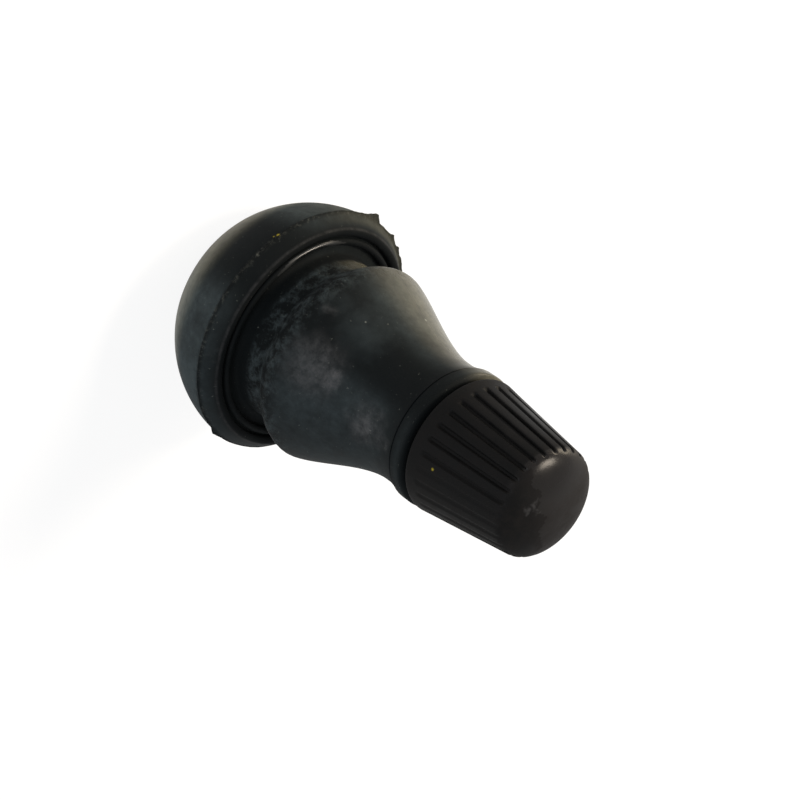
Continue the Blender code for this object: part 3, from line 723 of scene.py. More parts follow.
    # The rubber is matt, duller where it bloomed. Hands have polished one side, standing the lowest part
    dull = add_node(
        tree,
        "ShaderNodeMapRange",
        None,
        {"Value": clouds.outputs["Fac"], "From Min": 0.35, "From Max": 0.7, "To Min": 0.7, "To Max": 0.86},
    )
    polished = add_node(
        tree,
        "ShaderNodeMapRange",
        EASED,
        {
            "Value": handled.outputs["Value"],
            "From Min": 0.5,
            "From Max": 0.95,
            "To Min": 0.0,
            "To Max": 1.0,
        },
    )
    polished = add_node(
        tree, "ShaderNodeMath", MULTIPLY, {0: polished.outputs["Result"], 1: groove.outputs["Result"]}
    )
    satin = add_node(
        tree,
        "ShaderNodeMix",
        NUMBER_MIX,
        {"Factor": polished.outputs[0], "A": dull.outputs["Result"], "B": 0.26},
    )
    stood = add_node(
        tree,
        "ShaderNodeMapRange",
        EASED,
        {"Value": height, "From Min": 2.4, "From Max": 5.4, "To Min": 0.48, "To Max": 1.0},
    )
    roughness = add_node(
        tree,
        "ShaderNodeMath",
        {"operation": "MINIMUM"},
        {0: satin.outputs["Result"], 1: stood.outputs["Result"]},
    )
    tree.links.new(roughness.outputs[0], shader.inputs["Roughness"])

    # A fine orange peel of the mould, 0.17 mm, under the torn skin of the groove
    peel = add_node(tree, "ShaderNodeTexNoise", None, {"Vector": place, "Scale": 6.0, "Detail": 2.0})
    fine_bump = add_node(
        tree,
        "ShaderNodeBump",
        None,
        {"Height": peel.outputs["Fac"], "Strength": 0.25, "Distance": 0.02 * MM},
    )
    torn = add_node(
        tree, "ShaderNodeMath", MULTIPLY, {0: band.outputs[0], 1: blotch_share.outputs["Result"]}
    )
    coarse_bump = add_node(
        tree,
        "ShaderNodeBump",
        None,
        {
            "Height": torn.outputs[0],
            "Strength": 0.7,
            "Distance": 0.07 * MM,
            "Normal": fine_bump.outputs["Normal"],
        },
    )
    tree.links.new(coarse_bump.outputs["Normal"], shader.inputs["Normal"])
    return material


def rubbed_rubber(colours):
    """Rubber rubbed smooth where the bead stands proud, so that one side of it gleams."""
    material, tree, shader, place = new_material("rubbed_rubber", 0.3, gloss=0.36)
    shader.inputs["Base Color"].default_value = (*colours.rubber, 1)
    away = add_node(tree, "ShaderNodeVectorMath", DISTANCE, {0: place, 1: BEAD_POLISH})
    finish = add_node(
        tree,
        "ShaderNodeMapRange",
        EASED,
        {"Value": away.outputs["Value"], "From Min": 0.8, "From Max": 3.0, "To Min": 0.28, "To Max": 0.9},
    )
    tree.links.new(finish.outputs["Result"], shader.inputs["Roughness"])
    return material


def moulded_plastic(colours, sizes, name, gloss):
    """Black moulded cap plastic: darker than the rubber, dull, and smooth on one side of the dome."""
    material, tree, shader, place = new_material(name, 0.45, gloss=gloss)
    wear = add_node(
        tree, "ShaderNodeTexNoise", None, {"Vector": place, "Scale": 0.7, "Detail": 6.0, "Roughness": 0.65}
    )
    split = add_node(tree, "ShaderNodeSeparateXYZ", None, {"Vector": place})
    dome_base = (CAP_TOP - sizes.cap_dome) / MM
    on_dome = add_node(
        tree,
        "ShaderNodeMapRange",
        EASED,
        {"Value": split.outputs["Z"], "From Min": dome_base - 0.2, "From Max": dome_base + 0.4},
    )
    side = add_node(
        tree,
        "ShaderNodeMapRange",
        None,
        {"Value": wear.outputs["Fac"], "From Min": 0.3, "From Max": 0.7, "To Min": 0.6, "To Max": 0.78},
    )
    smoother = add_node(
        tree,
        "ShaderNodeMapRange",
        None,
        {"Value": wear.outputs["Fac"], "From Min": 0.3, "From Max": 0.7, "To Min": 0.2, "To Max": 0.27},
    )
    off_polish = add_node(tree, "ShaderNodeVectorMath", DISTANCE, {0: place, 1: DOME_POLISH})
    polish = add_node(
        tree,
        "ShaderNodeMapRange",
        EASED,
        {
            "Value": off_polish.outputs["Value"],
            "From Min": 1.2,
            "From Max": 4.4,
            "To Min": 1.0,
            "To Max": 0.0,
        },
    )
    polish = add_node(
        tree, "ShaderNodeMath", MULTIPLY, {0: polish.outputs["Result"], 1: on_dome.outputs["Result"]}
    )
    handled = marks(tree, place, [(SIDE_POLISH, 6.0, 0.8)])
    polish = add_node(tree, "ShaderNodeMath", MAXIMUM, {0: polish.outputs[0], 1: handled})
    roughness = add_node(
        tree,
        "ShaderNodeMix",
        NUMBER_MIX,
        {"Factor": polish.outputs[0], "A": side.outputs["Result"], "B": smoother.outputs["Result"]},
    )
    tree.links.new(roughness.outputs["Result"], shader.inputs["Roughness"])

    # Thumbs have rubbed the plastic grey in clouds about 1.5 mm across, most of all on the dome
    rubbed = add_node(
        tree,
        "ShaderNodeMapRange",
        None,
        {"Value": wear.outputs["Fac"], "From Min": 0.42, "From Max": 0.72, "To Min": 0.0, "To Max": 0.5},
    )
    dome_share = add_node(
        tree,
        "ShaderNodeMapRange",
        None,
        {"Value": on_dome.outputs["Result"], "To Min": 0.45, "To Max": 1.0},
    )
    rubbed = add_node(
        tree, "ShaderNodeMath", MULTIPLY, {0: rubbed.outputs["Result"], 1: dome_share.outputs["Result"]}
    )

    # The dome is tinted brown all over but for one side, which is left dark
    across = add_node(tree, "ShaderNodeVectorMath", DOT_PRODUCT, {0: place, 1: DULL_SIDE})
    brown = add_node(
        tree,
        "ShaderNodeMapRange",
        EASED,
        {"Value": across.outputs["Value"], "From Min": 0.4, "From Max": 3.2, "To Min": 0.5, "To Max": 0.0},
    )
    brown = add_node(
        tree, "ShaderNodeMath", MULTIPLY, {0: brown.outputs["Result"], 1: on_dome.outputs["Result"]}
    )
    rubbed = add_node(tree, "ShaderNodeMath", MAXIMUM, {0: rubbed.outputs[0], 1: brown.outputs[0]})
    tone = add_node(
        tree,
        "ShaderNodeMix",
        COLOUR_MIX,
        {"Factor": rubbed.outputs[0], "A": (*colours.cap, 1), "B": (*colours.rubbed_cap, 1)},
    )

    # A knock has left a ragged grey scuff on the dome, its edge shaken by up to 1.4 mm
    shake = add_node(tree, "ShaderNodeTexNoise", None, {"Vector": place, "Scale": 1.6, "Detail": 6.0})
    shake = add_node(
        tree, "ShaderNodeVectorMath", SUBTRACT, {0: shake.outputs["Color"], 1: (0.5, 0.5, 0.5)}
    )
    shaken = add_node(
        tree,
        "ShaderNodeVectorMath",
        MULTIPLY_ADD,
        {0: shake.outputs["Vector"], 1: (2.8, 2.8, 2.8), 2: place},
    )
    scuffed_dome = marks(tree, shaken.outputs["Vector"], [DOME_SCUFF])
    scuffed_dome = add_node(
        tree,
        "ShaderNodeMix",
        COLOUR_MIX,
        {"Factor": scuffed_dome, "A": tone.outputs["Result"], "B": (*colours.scuff_and_reflection, 1)},
    )
    crumbs = marks(tree, place, [(centre, radius, 0.7) for centre, radius in CAP_CRUMBS])
    crumbed = add_node(
        tree,
        "ShaderNodeMix",
        COLOUR_MIX,
        {"Factor": crumbs, "A": scuffed_dome.outputs["Result"], "B": (*colours.crumb, 1)},
    )
    tree.links.new(crumbed.outputs["Result"], shader.inputs["Base Color"])
    fine_skin(tree, shader, place, 5.0, 3.0, 0.3, 0.015 * MM)
    return material


def turned_metal(name, hue, roughness):
    """Metal turned on a lathe: fine rings round the axis that stretch each gleam."""
    material, tree, shader, place = new_material(name, roughness, 1.0)
    stain = add_node(tree, "ShaderNodeTexNoise", None, {"Vector": place, "Scale": 0.7, "Detail": 4.0})
    darker = tuple(channel * 0.62 for channel in hue)
    stain_share = add_node(
        tree,
        "ShaderNodeMapRange",
        None,
        {"Value": stain.outputs["Fac"], "From Min": 0.45, "From Max": 0.75, "To Min": 0.0, "To Max": 0.8},
    )
    tone = add_node(
        tree,
        "ShaderNodeMix",
        COLOUR_MIX,
        {"Factor": stain_share.outputs["Result"], "A": (*hue, 1), "B": (*darker, 1)},
    )
    tree.links.new(tone.outputs["Result"], shader.inputs["Base Color"])
    # Tool marks 0.06 mm apart run round the axis, so the pattern is fine in height alone
    rings = add_node(tree, "ShaderNodeMapping", None, {"Vector": place, "Scale": (0.3, 0.3, 16.0)})
    fine_skin(tree, shader, rings.outputs["Vector"], 1.0, 2.0, 0.3, 0.01 * MM)
    return material


def sealing_rubber(name, hue, roughness):
    """Soft sealing rubber: matt, with a fine skin and slightly uneven colour."""
    material, tree, shader, place = new_material(name, roughness)
    mottle = add_node(tree, "ShaderNodeTexNoise", None, {"Vector": place, "Scale": 1.6, "Detail": 4.0})
    darker = tuple(channel * 0.6 for channel in hue)
    tone = add_node(
        tree,
        "ShaderNodeMix",
        COLOUR_MIX,
        {"Factor": mottle.outputs["Fac"], "A": (*darker, 1), "B": (*hue, 1)},
    )
    tree.links.new(tone.outputs["Result"], shader.inputs["Base Color"])
    fine_skin(tree, shader, place, 9.0, 2.0, 0.25, 0.02 * MM)
    return material


# How far the torn flash stands out round the head, as (azimuth in degrees, millimetres)
FLASH = (
    *((0, 0.06), (12, 0.02), (45, 0.08), (90, 0.12), (135, 0.3), (145, 0.3), (150, 0.34), (151.5, 0.22)),
    *((156, 0.38), (158, 0.2), (161.5, 0.2), (164, 0.36), (166, 0.2), (170, 0.12), (177, 0.08)),
    *((180.8, 0.5), (182.5, 0.5), (187, 0.22), (193, 0.1), (214, 0.1), (250, 0.05), (345, 0.05)),
    *((349, 0.0), (353, 0.24), (356, 0.14), (360, 0.06)),
)

# The gap between pieces that touch, and the stem's foot and shank
GAP = 0.05 * MM
STEM_FOOT = 4.9 * MM
STEM_FOOT_HEIGHT = 1.1 * MM
SHANK_TOP = 13.6 * MM

# The width of the seal in the cap
SEAL_WIDTH = 0.75 * MM

# Radii that the core's pieces share: the plug's neck and head, the barrel's seat, foot, flange and
# gasket groove, and the pin with its own hole in the cup
PLUG_NECK = 1.4 * MM
PLUG_SOCKET = 1.9 * MM
BARREL_SEAT = 0.75 * MM
BARREL_BORE = 1.15 * MM
BARREL_FOOT = 1.7 * MM
BARREL_FLANGE = 2.1 * MM
GASKET_GROOVE = 1.52 * MM
PIN_SHANK = 0.5 * MM

# The depth of the recess on either side of the sealing bead, and half the width rubbed smooth on it
RECESS_DEPTH = 0.42 * MM
RUBBED_WIDTH = 0.22 * MM

# How far the flash reaches back into the head, and how far its edge wanders up and down
FLASH_ROOT = 0.08 * MM
FLASH_WANDER = 0.06 * MM

# The torn part of the wheel groove, the depth of its flakes, and the unevenness of all the rubber
GROOVE_LOW = 8.9 * MM
GROOVE_HIGH = 11.9 * MM
FLAKE_DEPTH = 0.045
SKIN_DEPTH = 0.012


def flash_reach(turn):
    """How far the flash stands out at an azimuth, with its torn edge."""
    degrees = math.degrees(turn) % 360
    for (low, near), (high, far) in zip(FLASH, FLASH[1:]):
        if low <= degrees <= high:
            reach = near + (far - near) * (degrees - low) / (high - low)
            break
    round_head = 9.5
    spot = Vector((round_head * math.cos(turn), round_head * math.sin(turn), 3.0))
    ragged = 1 + 0.2 * noise.noise(spot * 0.9) + 0.25 * noise.noise(spot * 3.1)
    return reach * MM * ragged


def shape_rubber(bm, sizes):
    """Tears the flash and roughens the groove of the turned rubber."""
    for vert in bm.verts:
        radius, turn = polar(vert)
        if radius < sizes.collar_radius - 0.5 * MM:
            continue
        spot = vert.co / MM
        rim = sizes.head_radius - FLASH_ROOT
        if radius > rim and abs(vert.co.z - sizes.parting_height) < 0.2 * MM:
            share = min(1.0, (radius - rim) / (sizes.flash_reach + FLASH_ROOT))
            reach = flash_reach(turn) + FLASH_ROOT
            wander = FLASH_WANDER * noise.noise(spot * 0.5 + Vector((7, 3, 1)))
            vert.co.z += wander * share
            set_radius(vert, rim + reach * share, turn)
            continue
        groove = between(vert.co.z, GROOVE_LOW, GROOVE_HIGH, 0.9 * MM)
        flakes = noise.noise(spot * 1.3) + 0.5 * noise.noise(spot * 2.9)
        skin = SKIN_DEPTH * noise.noise(spot * 0.35)
        push = (FLAKE_DEPTH * groove * flakes + skin) * MM
        set_radius(vert, radius + push, turn)


def rubber_profile(sizes):
    """Outline of the rubber body, from its air inlet up the outside and down its bore."""
    inlet = 1.7 * MM
    inlet_edge = 0.35 * MM
    points = [(inlet + inlet_edge, 0.0)]
    fin = 0.08 * MM
    dome = sizes.parting_height - fin
    rim = sizes.head_radius - 0.05 * MM
    steps = 40
    fullness = 2 / 1.7
    for step in range(steps + 1):
        angle = math.pi / 2 * step / steps
        out = math.sin(angle) ** fullness
        up = 1 - max(0.0, math.cos(angle)) ** fullness
        points.append((sizes.head_flat + (rim - sizes.head_flat) * out, dome * up))
    edge = sizes.head_radius + sizes.flash_reach
    middle = sizes.parting_height
    points += [
        (sizes.head_radius, middle - fin * 0.45),
        (edge, middle - fin * 0.25),
        (edge, middle + fin * 0.25),
        (sizes.head_radius, middle + fin * 0.45),
        (rim, middle + fin),
    ]
    top = sizes.shoulder_height
    lip_radius = sizes.head_radius - 0.7 * MM
    lip_round = 0.35 * MM
    points += arc(lip_radius - lip_round, top - lip_round, lip_round, 20, 90, 6)
    recess = top - RECESS_DEPTH
    bead = 0.26 * MM
    points += bezier(
        (lip_radius - lip_round, top),
        (lip_radius - 0.6 * MM, top),
        (lip_radius - 0.72 * MM, top - 0.12 * MM),
        (lip_radius - 0.74 * MM, recess),
        8,
    )
    points.append((sizes.bead_radius + bead + 0.04 * MM, recess))
    points += arc(sizes.bead_radius, top - 0.24 * MM, bead, 0, 180, 12)
    points.append((sizes.bead_radius - bead - 0.04 * MM, recess))
    root = 0.45 * MM
    points += arc(sizes.groove_radius + root, recess + root, root, 270, 180, 6)
    groove_top = top + 3.3 * MM
    foot = (sizes.groove_radius + 0.03 * MM, groove_top - 1.15 * MM)
    bulge = (sizes.bulge_radius, groove_top + 0.8 * MM)
    waist = (sizes.waist_radius, top + 12.7 * MM)
    points.append((sizes.groove_radius, foot[1] - 0.25 * MM))
    points.append(foot)
    points += bezier(
        foot,
        (foot[0] + 0.3 * MM, foot[1] + 0.45 * MM),
        (bulge[0] - 0.02 * MM, bulge[1] - 0.75 * MM),
        bulge,
        12,
    )
    points += bezier(
        bulge,
        (bulge[0] - 0.5 * MM, bulge[1] + 2.0 * MM),
        (waist[0] + 0.1 * MM, waist[1] - 3.0 * MM),
        waist,
        36,
    )
    flare = (sizes.collar_radius - 0.12 * MM, waist[1] + 2.15 * MM)
    knee = (waist[0], waist[1] + 1.075 * MM)
    points += bezier(waist, knee, knee, flare, 10)
    points.append((sizes.collar_radius - 0.26 * MM, flare[1] + 0.07 * MM))
    points.append((sizes.collar_radius - 0.02 * MM, flare[1] + 0.2 * MM))
    rim_start = (sizes.collar_radius, COLLAR_TOP - 0.42 * MM)
    rim_end = (sizes.collar_radius - 0.62 * MM, COLLAR_TOP - 0.04 * MM)
    points.append(rim_start)
    points += bezier(
        rim_start,
        (rim_start[0], rim_start[1] + 0.22 * MM),
        (rim_end[0] + 0.3 * MM, rim_end[1]),
        rim_end,
        8,
    )
    bore = sizes.stem_thread + GAP
    shank = 3.35 * MM
    foot_top = STEM_BASE + STEM_FOOT_HEIGHT + GAP
    points += [
        (bore, COLLAR_TOP),
        (bore, 14.2 * MM),
        (shank, SHANK_TOP),
        (shank, foot_top),
        (STEM_FOOT + GAP, foot_top),
        (STEM_FOOT + GAP, STEM_BASE - GAP),
        (inlet, STEM_BASE - GAP),
        (inlet, inlet_edge),
    ]
    return points


class VALVE_OT_rubber_body(Operator):
    """Moulded rubber head, wheel groove and sleeve, with torn flash at the parting line"""

    bl_idname = "valve.rubber_body"
    bl_label = "Rubber body"

    def execute(self, context):
        sizes = context.scene.valve_sizes
        bm = rounded_wire(rubber_profile(sizes))
        refine(bm, 0.22 * MM, reach=sizes.waist_radius - 0.1 * MM)
        spin_round(bm, 384)
        shape_rubber(bm, sizes)
        for face in bm.faces:
            spot = face.calc_center_median()
            turn = math.degrees(math.atan2(spot.y, spot.x)) % 360 + 3 * noise.noise(spot / MM)
            off_bead = abs(math.hypot(spot.x, spot.y) - sizes.bead_radius)
            rubbed = RUBBED_WIDTH * between(turn, 217, 240, 18)
            if off_bead < rubbed and abs(spot.z - sizes.shoulder_height) < 0.25 * MM:
                face.material_index = 1
        colours = context.scene.valve_colours
        material = moulded_rubber(colours, sizes)
        nodes = ["rubber_body"]
        piece = finish_piece("moulded_rubber_body", bm, material, "valve_body", nodes, 50)
        piece.data.materials.append(rubbed_rubber(colours))
        return {"FINISHED"}


class VALVE_OT_stem(Operator):
    """Brass stem with its foot, keying grooves, bore and the threads for cap and core"""

    bl_idname = "valve.stem"
    bl_label = "Threaded stem"

    def execute(self, context):
        sizes = context.scene.valve_sizes
        colours = context.scene.valve_colours
        thread = sizes.stem_thread
        foot_top = STEM_BASE + STEM_FOOT_HEIGHT
        shank = thread - 0.57 * MM
        key = shank - 0.4 * MM
        air_bore = 1.5 * MM
        barrel_bore = 1.95 * MM
        core_bore = sizes.core_thread + GAP
        outer_edge = 0.45 * MM
        inner_edge = 0.3 * MM
        points = [(air_bore, STEM_BASE), (STEM_FOOT, STEM_BASE), (STEM_FOOT, foot_top), (shank, foot_top)]
        for low in (foot_top + 2.2 * MM, foot_top + 5.4 * MM):
            high = low + 0.9 * MM
            points += [(shank, low), (key, low), (key, high), (shank, high)]
        points += [
            (shank, SHANK_TOP),
            (thread, 14.17 * MM),
            (thread, COLLAR_TOP),
            (thread, STEM_TOP - outer_edge),
            (thread - outer_edge, STEM_TOP),
            (core_bore + inner_edge, STEM_TOP),
            (core_bore, STEM_TOP - inner_edge),
            (core_bore, PLUG_BASE + 0.9 * MM),
            (core_bore, GASKET_TOP + GAP),
            (2.5 * MM, GASKET_TOP),
            (2.15 * MM, GASKET_BASE),
            (barrel_bore, GASKET_BASE - GAP),
            (barrel_bore, 10.95 * MM),
            (air_bore, 10.5 * MM),
        ]
        bm = rounded_wire(points, rounds=[([1, 2], 0.12 * MM, 3), ([15, 16], 0.06 * MM, 2)])
        refine(bm, sizes.stem_pitch / 24, low=COLLAR_TOP - 0.01 * MM, reach=3.0 * MM)
        refine(bm, sizes.core_pitch / 12, low=PLUG_BASE + 0.8 * MM, reach=2.3 * MM)
        spin_round(bm, 128)
        for vert in bm.verts:
            radius, turn = polar(vert)
            height = vert.co.z
            if radius > 3.3 * MM and height > COLLAR_TOP + 0.02 * MM:
                full = smooth_step((height - COLLAR_TOP) / (0.5 * MM))
                share = smooth_step(thread_share(height, turn, sizes.stem_pitch, 0.02, 0.1))
                cut = thread - (1 - share) * full * 0.43 * MM
                set_radius(vert, min(radius, cut), turn)
            elif radius < core_bore + 0.01 * MM and height > PLUG_BASE + 0.95 * MM:
                full = smooth_step((height - PLUG_BASE - 0.95 * MM) / (0.4 * MM))
                share = thread_share(height, turn, sizes.core_pitch, 0.2, 0.5, 0.5)
                set_radius(vert, radius - share * full * 0.13 * MM, turn)
        material = turned_metal("turned_brass", colours.brass, 0.3)
        finish_piece("threaded_stem", bm, material, "valve_body", ["stem"])
        return {"FINISHED"}


def flute_depth(sizes, height, turn):
    """Depth of the grip flutes at a point of the cap, with rounded ends and sides."""
    pitch = math.tau / sizes.flute_count
    first_flute = 0.77
    half_width = 0.21
    across = 0.5 - abs((turn / pitch - first_flute) % 1.0 - 0.5)
    low = CAP_BASE + sizes.cap_band
    high = CAP_TOP - sizes.cap_dome + 0.55 * MM
    side = half_width - across
    end = min(height - low, high - height)
    if side <= 0 or end <= 0:
        return 0.0
    sideways = smooth_step(side / 0.12)
    lengthways = smooth_step(end / (0.42 * MM))
    # Hands have worn the flutes almost smooth on one side
    worn = 1 - 0.72 * between(math.degrees(turn), 304, 352, 16)
    return sizes.flute_depth * sideways * lengthways * worn


class VALVE_OT_cap(Operator):
    """Black plastic screw cap with grip flutes, a domed end and its inner thread"""

    bl_idname = "valve.cap"
    bl_label = "Screw cap"

    def execute(self, context):
        sizes = context.scene.valve_sizes
        shoulder_z = CAP_TOP - sizes.cap_dome
        taper = (sizes.cap_base - sizes.cap_shoulder) / (shoulder_z - CAP_BASE)
        bore = sizes.stem_thread + 0.08 * MM
        bore_edge = 0.35 * MM
        seal_bore = widest("cap_seal") + GAP
        seal_inside = seal_bore - SEAL_WIDTH
        ceiling = SEAL_TOP + 0.57 * MM
        points = [(0.0, CAP_TOP)]
        steps = 24
        fullness = 2 / 1.9
        for step in range(steps - 1, -1, -1):
            angle = math.pi / 2 * step / steps
            out = math.cos(angle) ** fullness
            up = math.sin(angle) ** fullness
            points.append((sizes.cap_shoulder * out, shoulder_z + sizes.cap_dome * up))
        band_top = CAP_BASE + sizes.cap_band
        points.append((sizes.cap_base - taper * sizes.cap_band, band_top))
        rim_round = 0.22 * MM
        points += arc(sizes.cap_base - 0.24 * MM, CAP_BASE + rim_round, rim_round, 0, -90, 5)
        points += [
            (bore + bore_edge, CAP_BASE),
            (bore, CAP_BASE + bore_edge),
            (bore, SEAL_BASE),
            (seal_bore, SEAL_BASE),
            (seal_bore, SEAL_TOP + GAP),
            (seal_inside, SEAL_TOP + GAP),
            (seal_inside, ceiling),
            (0.0, ceiling),
        ]
        bm = rounded_wire(points, closed=False)
        refine(bm, 0.2 * MM, low=CAP_BASE + 0.2 * MM, reach=bore + 0.1 * MM)
        thread_base = CAP_BASE + 0.34 * MM
        refine(bm, sizes.stem_pitch / 11, low=thread_base, high=SEAL_BASE + 0.01 * MM, reach=3.6 * MM)
        spin_round(bm, sizes.flute_count * 12)
        thread_top = SEAL_BASE - 0.9 * MM
        for vert in bm.verts:
            radius, turn = polar(vert)
            height = vert.co.z
            if radius < 0.1 * MM:
                continue
            if radius > bore + 0.3 * MM or height > SEAL_TOP + 0.9 * MM:
                set_radius(vert, radius - flute_depth(sizes, height, turn), turn)
            elif radius > bore - 0.01 * MM and CAP_BASE + 0.34 * MM < height < SEAL_BASE - 0.01 * MM:
                full = smooth_step((height - CAP_BASE - 0.35 * MM) / (0.5 * MM))
                full *= smooth_step((thread_top - height) / (0.5 * MM))
                share = thread_share(height, turn, sizes.stem_pitch, 0.16, 0.3, 0.5)
                set_radius(vert, radius - share * full * 0.36 * MM, turn)
        for face in bm.faces:
            spot = face.calc_center_median() / MM
            across = spot.dot(Vector(DULL_SIDE)) + 0.8 * noise.noise(spot * 0.8)
            if spot.z > shoulder_z / MM + 0.05 and across < 1.3:
                face.material_index = 1
        colours = context.scene.valve_colours
        material = moulded_plastic(colours, sizes, "moulded_plastic", 0.08)
        piece = finish_piece("screw_cap", bm, material, "cap", ["cap"], 40)
        piece.data.materials.append(moulded_plastic(colours, sizes, "rubbed_plastic", 0.14))
        return {"FINISHED"}


class VALVE_OT_cap_seal(Operator):
    """Rubber ring in the top of the cap's bore"""

    bl_idname = "valve.cap_seal"
    bl_label = "Cap seal"

    def execute(self, context):
        outer = widest("cap_seal")
        inner = outer - SEAL_WIDTH
        points = [(inner, SEAL_BASE), (outer, SEAL_BASE), (outer, SEAL_TOP), (inner, SEAL_TOP)]
        bm = rounded_wire(points, rounds=[([0, 1, 2, 3], 0.12 * MM, 3)])
        spin_round(bm, 128)
        material = sealing_rubber("sealing_rubber", context.scene.valve_colours.seal, 0.6)
        finish_piece("cap_seal_ring", bm, material, "cap_carrier", ["cap_seal"])
        return {"FINISHED"}


class VALVE_OT_core_plug(Operator):
    """Threaded swivel of the core with the two-legged bridge that guides the pin"""

    bl_idname = "valve.core_plug"
    bl_label = "Core plug"

    def execute(self, context):
        sizes = context.scene.valve_sizes
        thread = sizes.core_thread
        thread_top = PLUG_BASE + 3.3 * MM
        head_top = BARREL_TOP + 0.05 * MM
        lip_top = PLUG_BASE + 0.95 * MM
        lip = 1.55 * MM
        edge = 0.3 * MM
        points = [
            (lip, PLUG_BASE),
            (thread - edge, PLUG_BASE),
            (thread, PLUG_BASE + edge),
            (thread, thread_top - edge),
            (thread - edge, thread_top),
            (PLUG_NECK, thread_top),
            (PLUG_NECK, head_top),
            (PLUG_SOCKET, head_top),
            (PLUG_SOCKET, lip_top),
            (lip, lip_top),
        ]
        bm = rounded_wire(points)
        refine(bm, sizes.core_pitch / 14, reach=thread - 0.05 * MM)
        spin_round(bm, 112)
        for vert in bm.verts:
            radius, turn = polar(vert)
            if radius > thread - 0.25 * MM:
                share = thread_share(vert.co.z, turn, sizes.core_pitch, 0.14, 0.3)
                set_radius(vert, min(radius, thread - (1 - share) * 0.33 * MM), turn)
        leg_base = thread_top - 0.1 * MM
        leg_outside = 1.95 * MM
        pin_hole = 0.62 * MM
        arch_base = BRIDGE_TOP - 0.6 * MM
        half_width = 1.15 * MM
        bridge = [
            (PLUG_NECK, leg_base),
            (leg_outside, leg_base),
            (leg_outside, BRIDGE_TOP),
            (pin_hole, BRIDGE_TOP),
            (pin_hole, arch_base),
            (PLUG_NECK, arch_base),
        ]
        arch = rounded_wire(bridge, rounds=[([2], 0.25 * MM, 4), ([3], 0.08 * MM, 3)])
        spin_round(arch, 112)
        for side in (1, -1):
            cut = bmesh.ops.bisect_plane(
                arch,
                geom=arch.verts[:] + arch.edges[:] + arch.faces[:],
                plane_co=(0, side * half_width, 0),
                plane_no=(0, side, 0),
                clear_outer=True,
            )
            rim = [item for item in cut["geom_cut"] if isinstance(item, bmesh.types.BMEdge)]
            bmesh.ops.contextual_create(arch, geom=rim)
        bmesh.ops.recalc_face_normals(arch, faces=arch.faces[:])
        scrap = bpy.data.meshes.new("bridge")
        arch.to_mesh(scrap)
        arch.free()
        bm.from_mesh(scrap)
        bpy.data.meshes.remove(scrap)
        material = turned_metal("plug_brass", context.scene.valve_colours.brass, 0.28)
        finish_piece("threaded_core_plug", bm, material, "core_plug", ["core_plug"])
        return {"FINISHED"}


class VALVE_OT_core_barrel(Operator):
    """Barrel of the core with its swivel neck, flange and seat, and its sealing ring"""

    bl_idname = "valve.core_barrel"
    bl_label = "Core barrel and gasket"

    def execute(self, context):
        colours = context.scene.valve_colours
        flange_top = PLUG_BASE - GAP
        flange_base = GASKET_TOP + GAP
        swivel = BARREL_TOP - 0.55 * MM
        swivel_neck = 1.5 * MM
        swivel_head = 1.85 * MM
        nose_top = BARREL_BASE + 0.3 * MM
        floor_top = BARREL_BASE + 0.8 * MM
        points = [
            (BARREL_SEAT, BARREL_BASE),
            (1.0 * MM, BARREL_BASE),
            (BARREL_BORE, nose_top),
            (BARREL_FOOT, nose_top),
            (BARREL_FOOT, GASKET_BASE - 0.1 * MM),
            (GASKET_GROOVE, GASKET_BASE - GAP),
            (GASKET_GROOVE, flange_base),
            (BARREL_FLANGE, flange_base),
            (BARREL_FLANGE, flange_top),
            (swivel_neck, flange_top),
            (swivel_neck, swivel),
            (swivel_head, swivel),
            (swivel_head, BARREL_TOP),
            (BARREL_BORE, BARREL_TOP),
            (BARREL_BORE, floor_top),
            (BARREL_SEAT, floor_top),
        ]
        bm = rounded_wire(points, rounds=[([3, 7, 8, 12, 13], 0.07 * MM, 2), ([0, 1], 0.05 * MM, 2)])
        spin_round(bm, 96)
        material = turned_metal("barrel_brass", colours.brass, 0.32)
        finish_piece("turned_core_barrel", bm, material, "core", ["core_barrel"])
        inner = GASKET_GROOVE + GAP
        ring = [
            (inner, GASKET_BASE),
            (2.1 * MM, GASKET_BASE),
            (widest("barrel_gasket"), GASKET_TOP),
            (inner, GASKET_TOP),
        ]
        bm = rounded_wire(ring, rounds=[([1, 2], 0.1 * MM, 3)])
        spin_round(bm, 96)
        material = sealing_rubber("sealing_resin", colours.gasket, 0.45)
        finish_piece("tapered_gasket", bm, material, "core", ["barrel_gasket"])
        return {"FINISHED"}


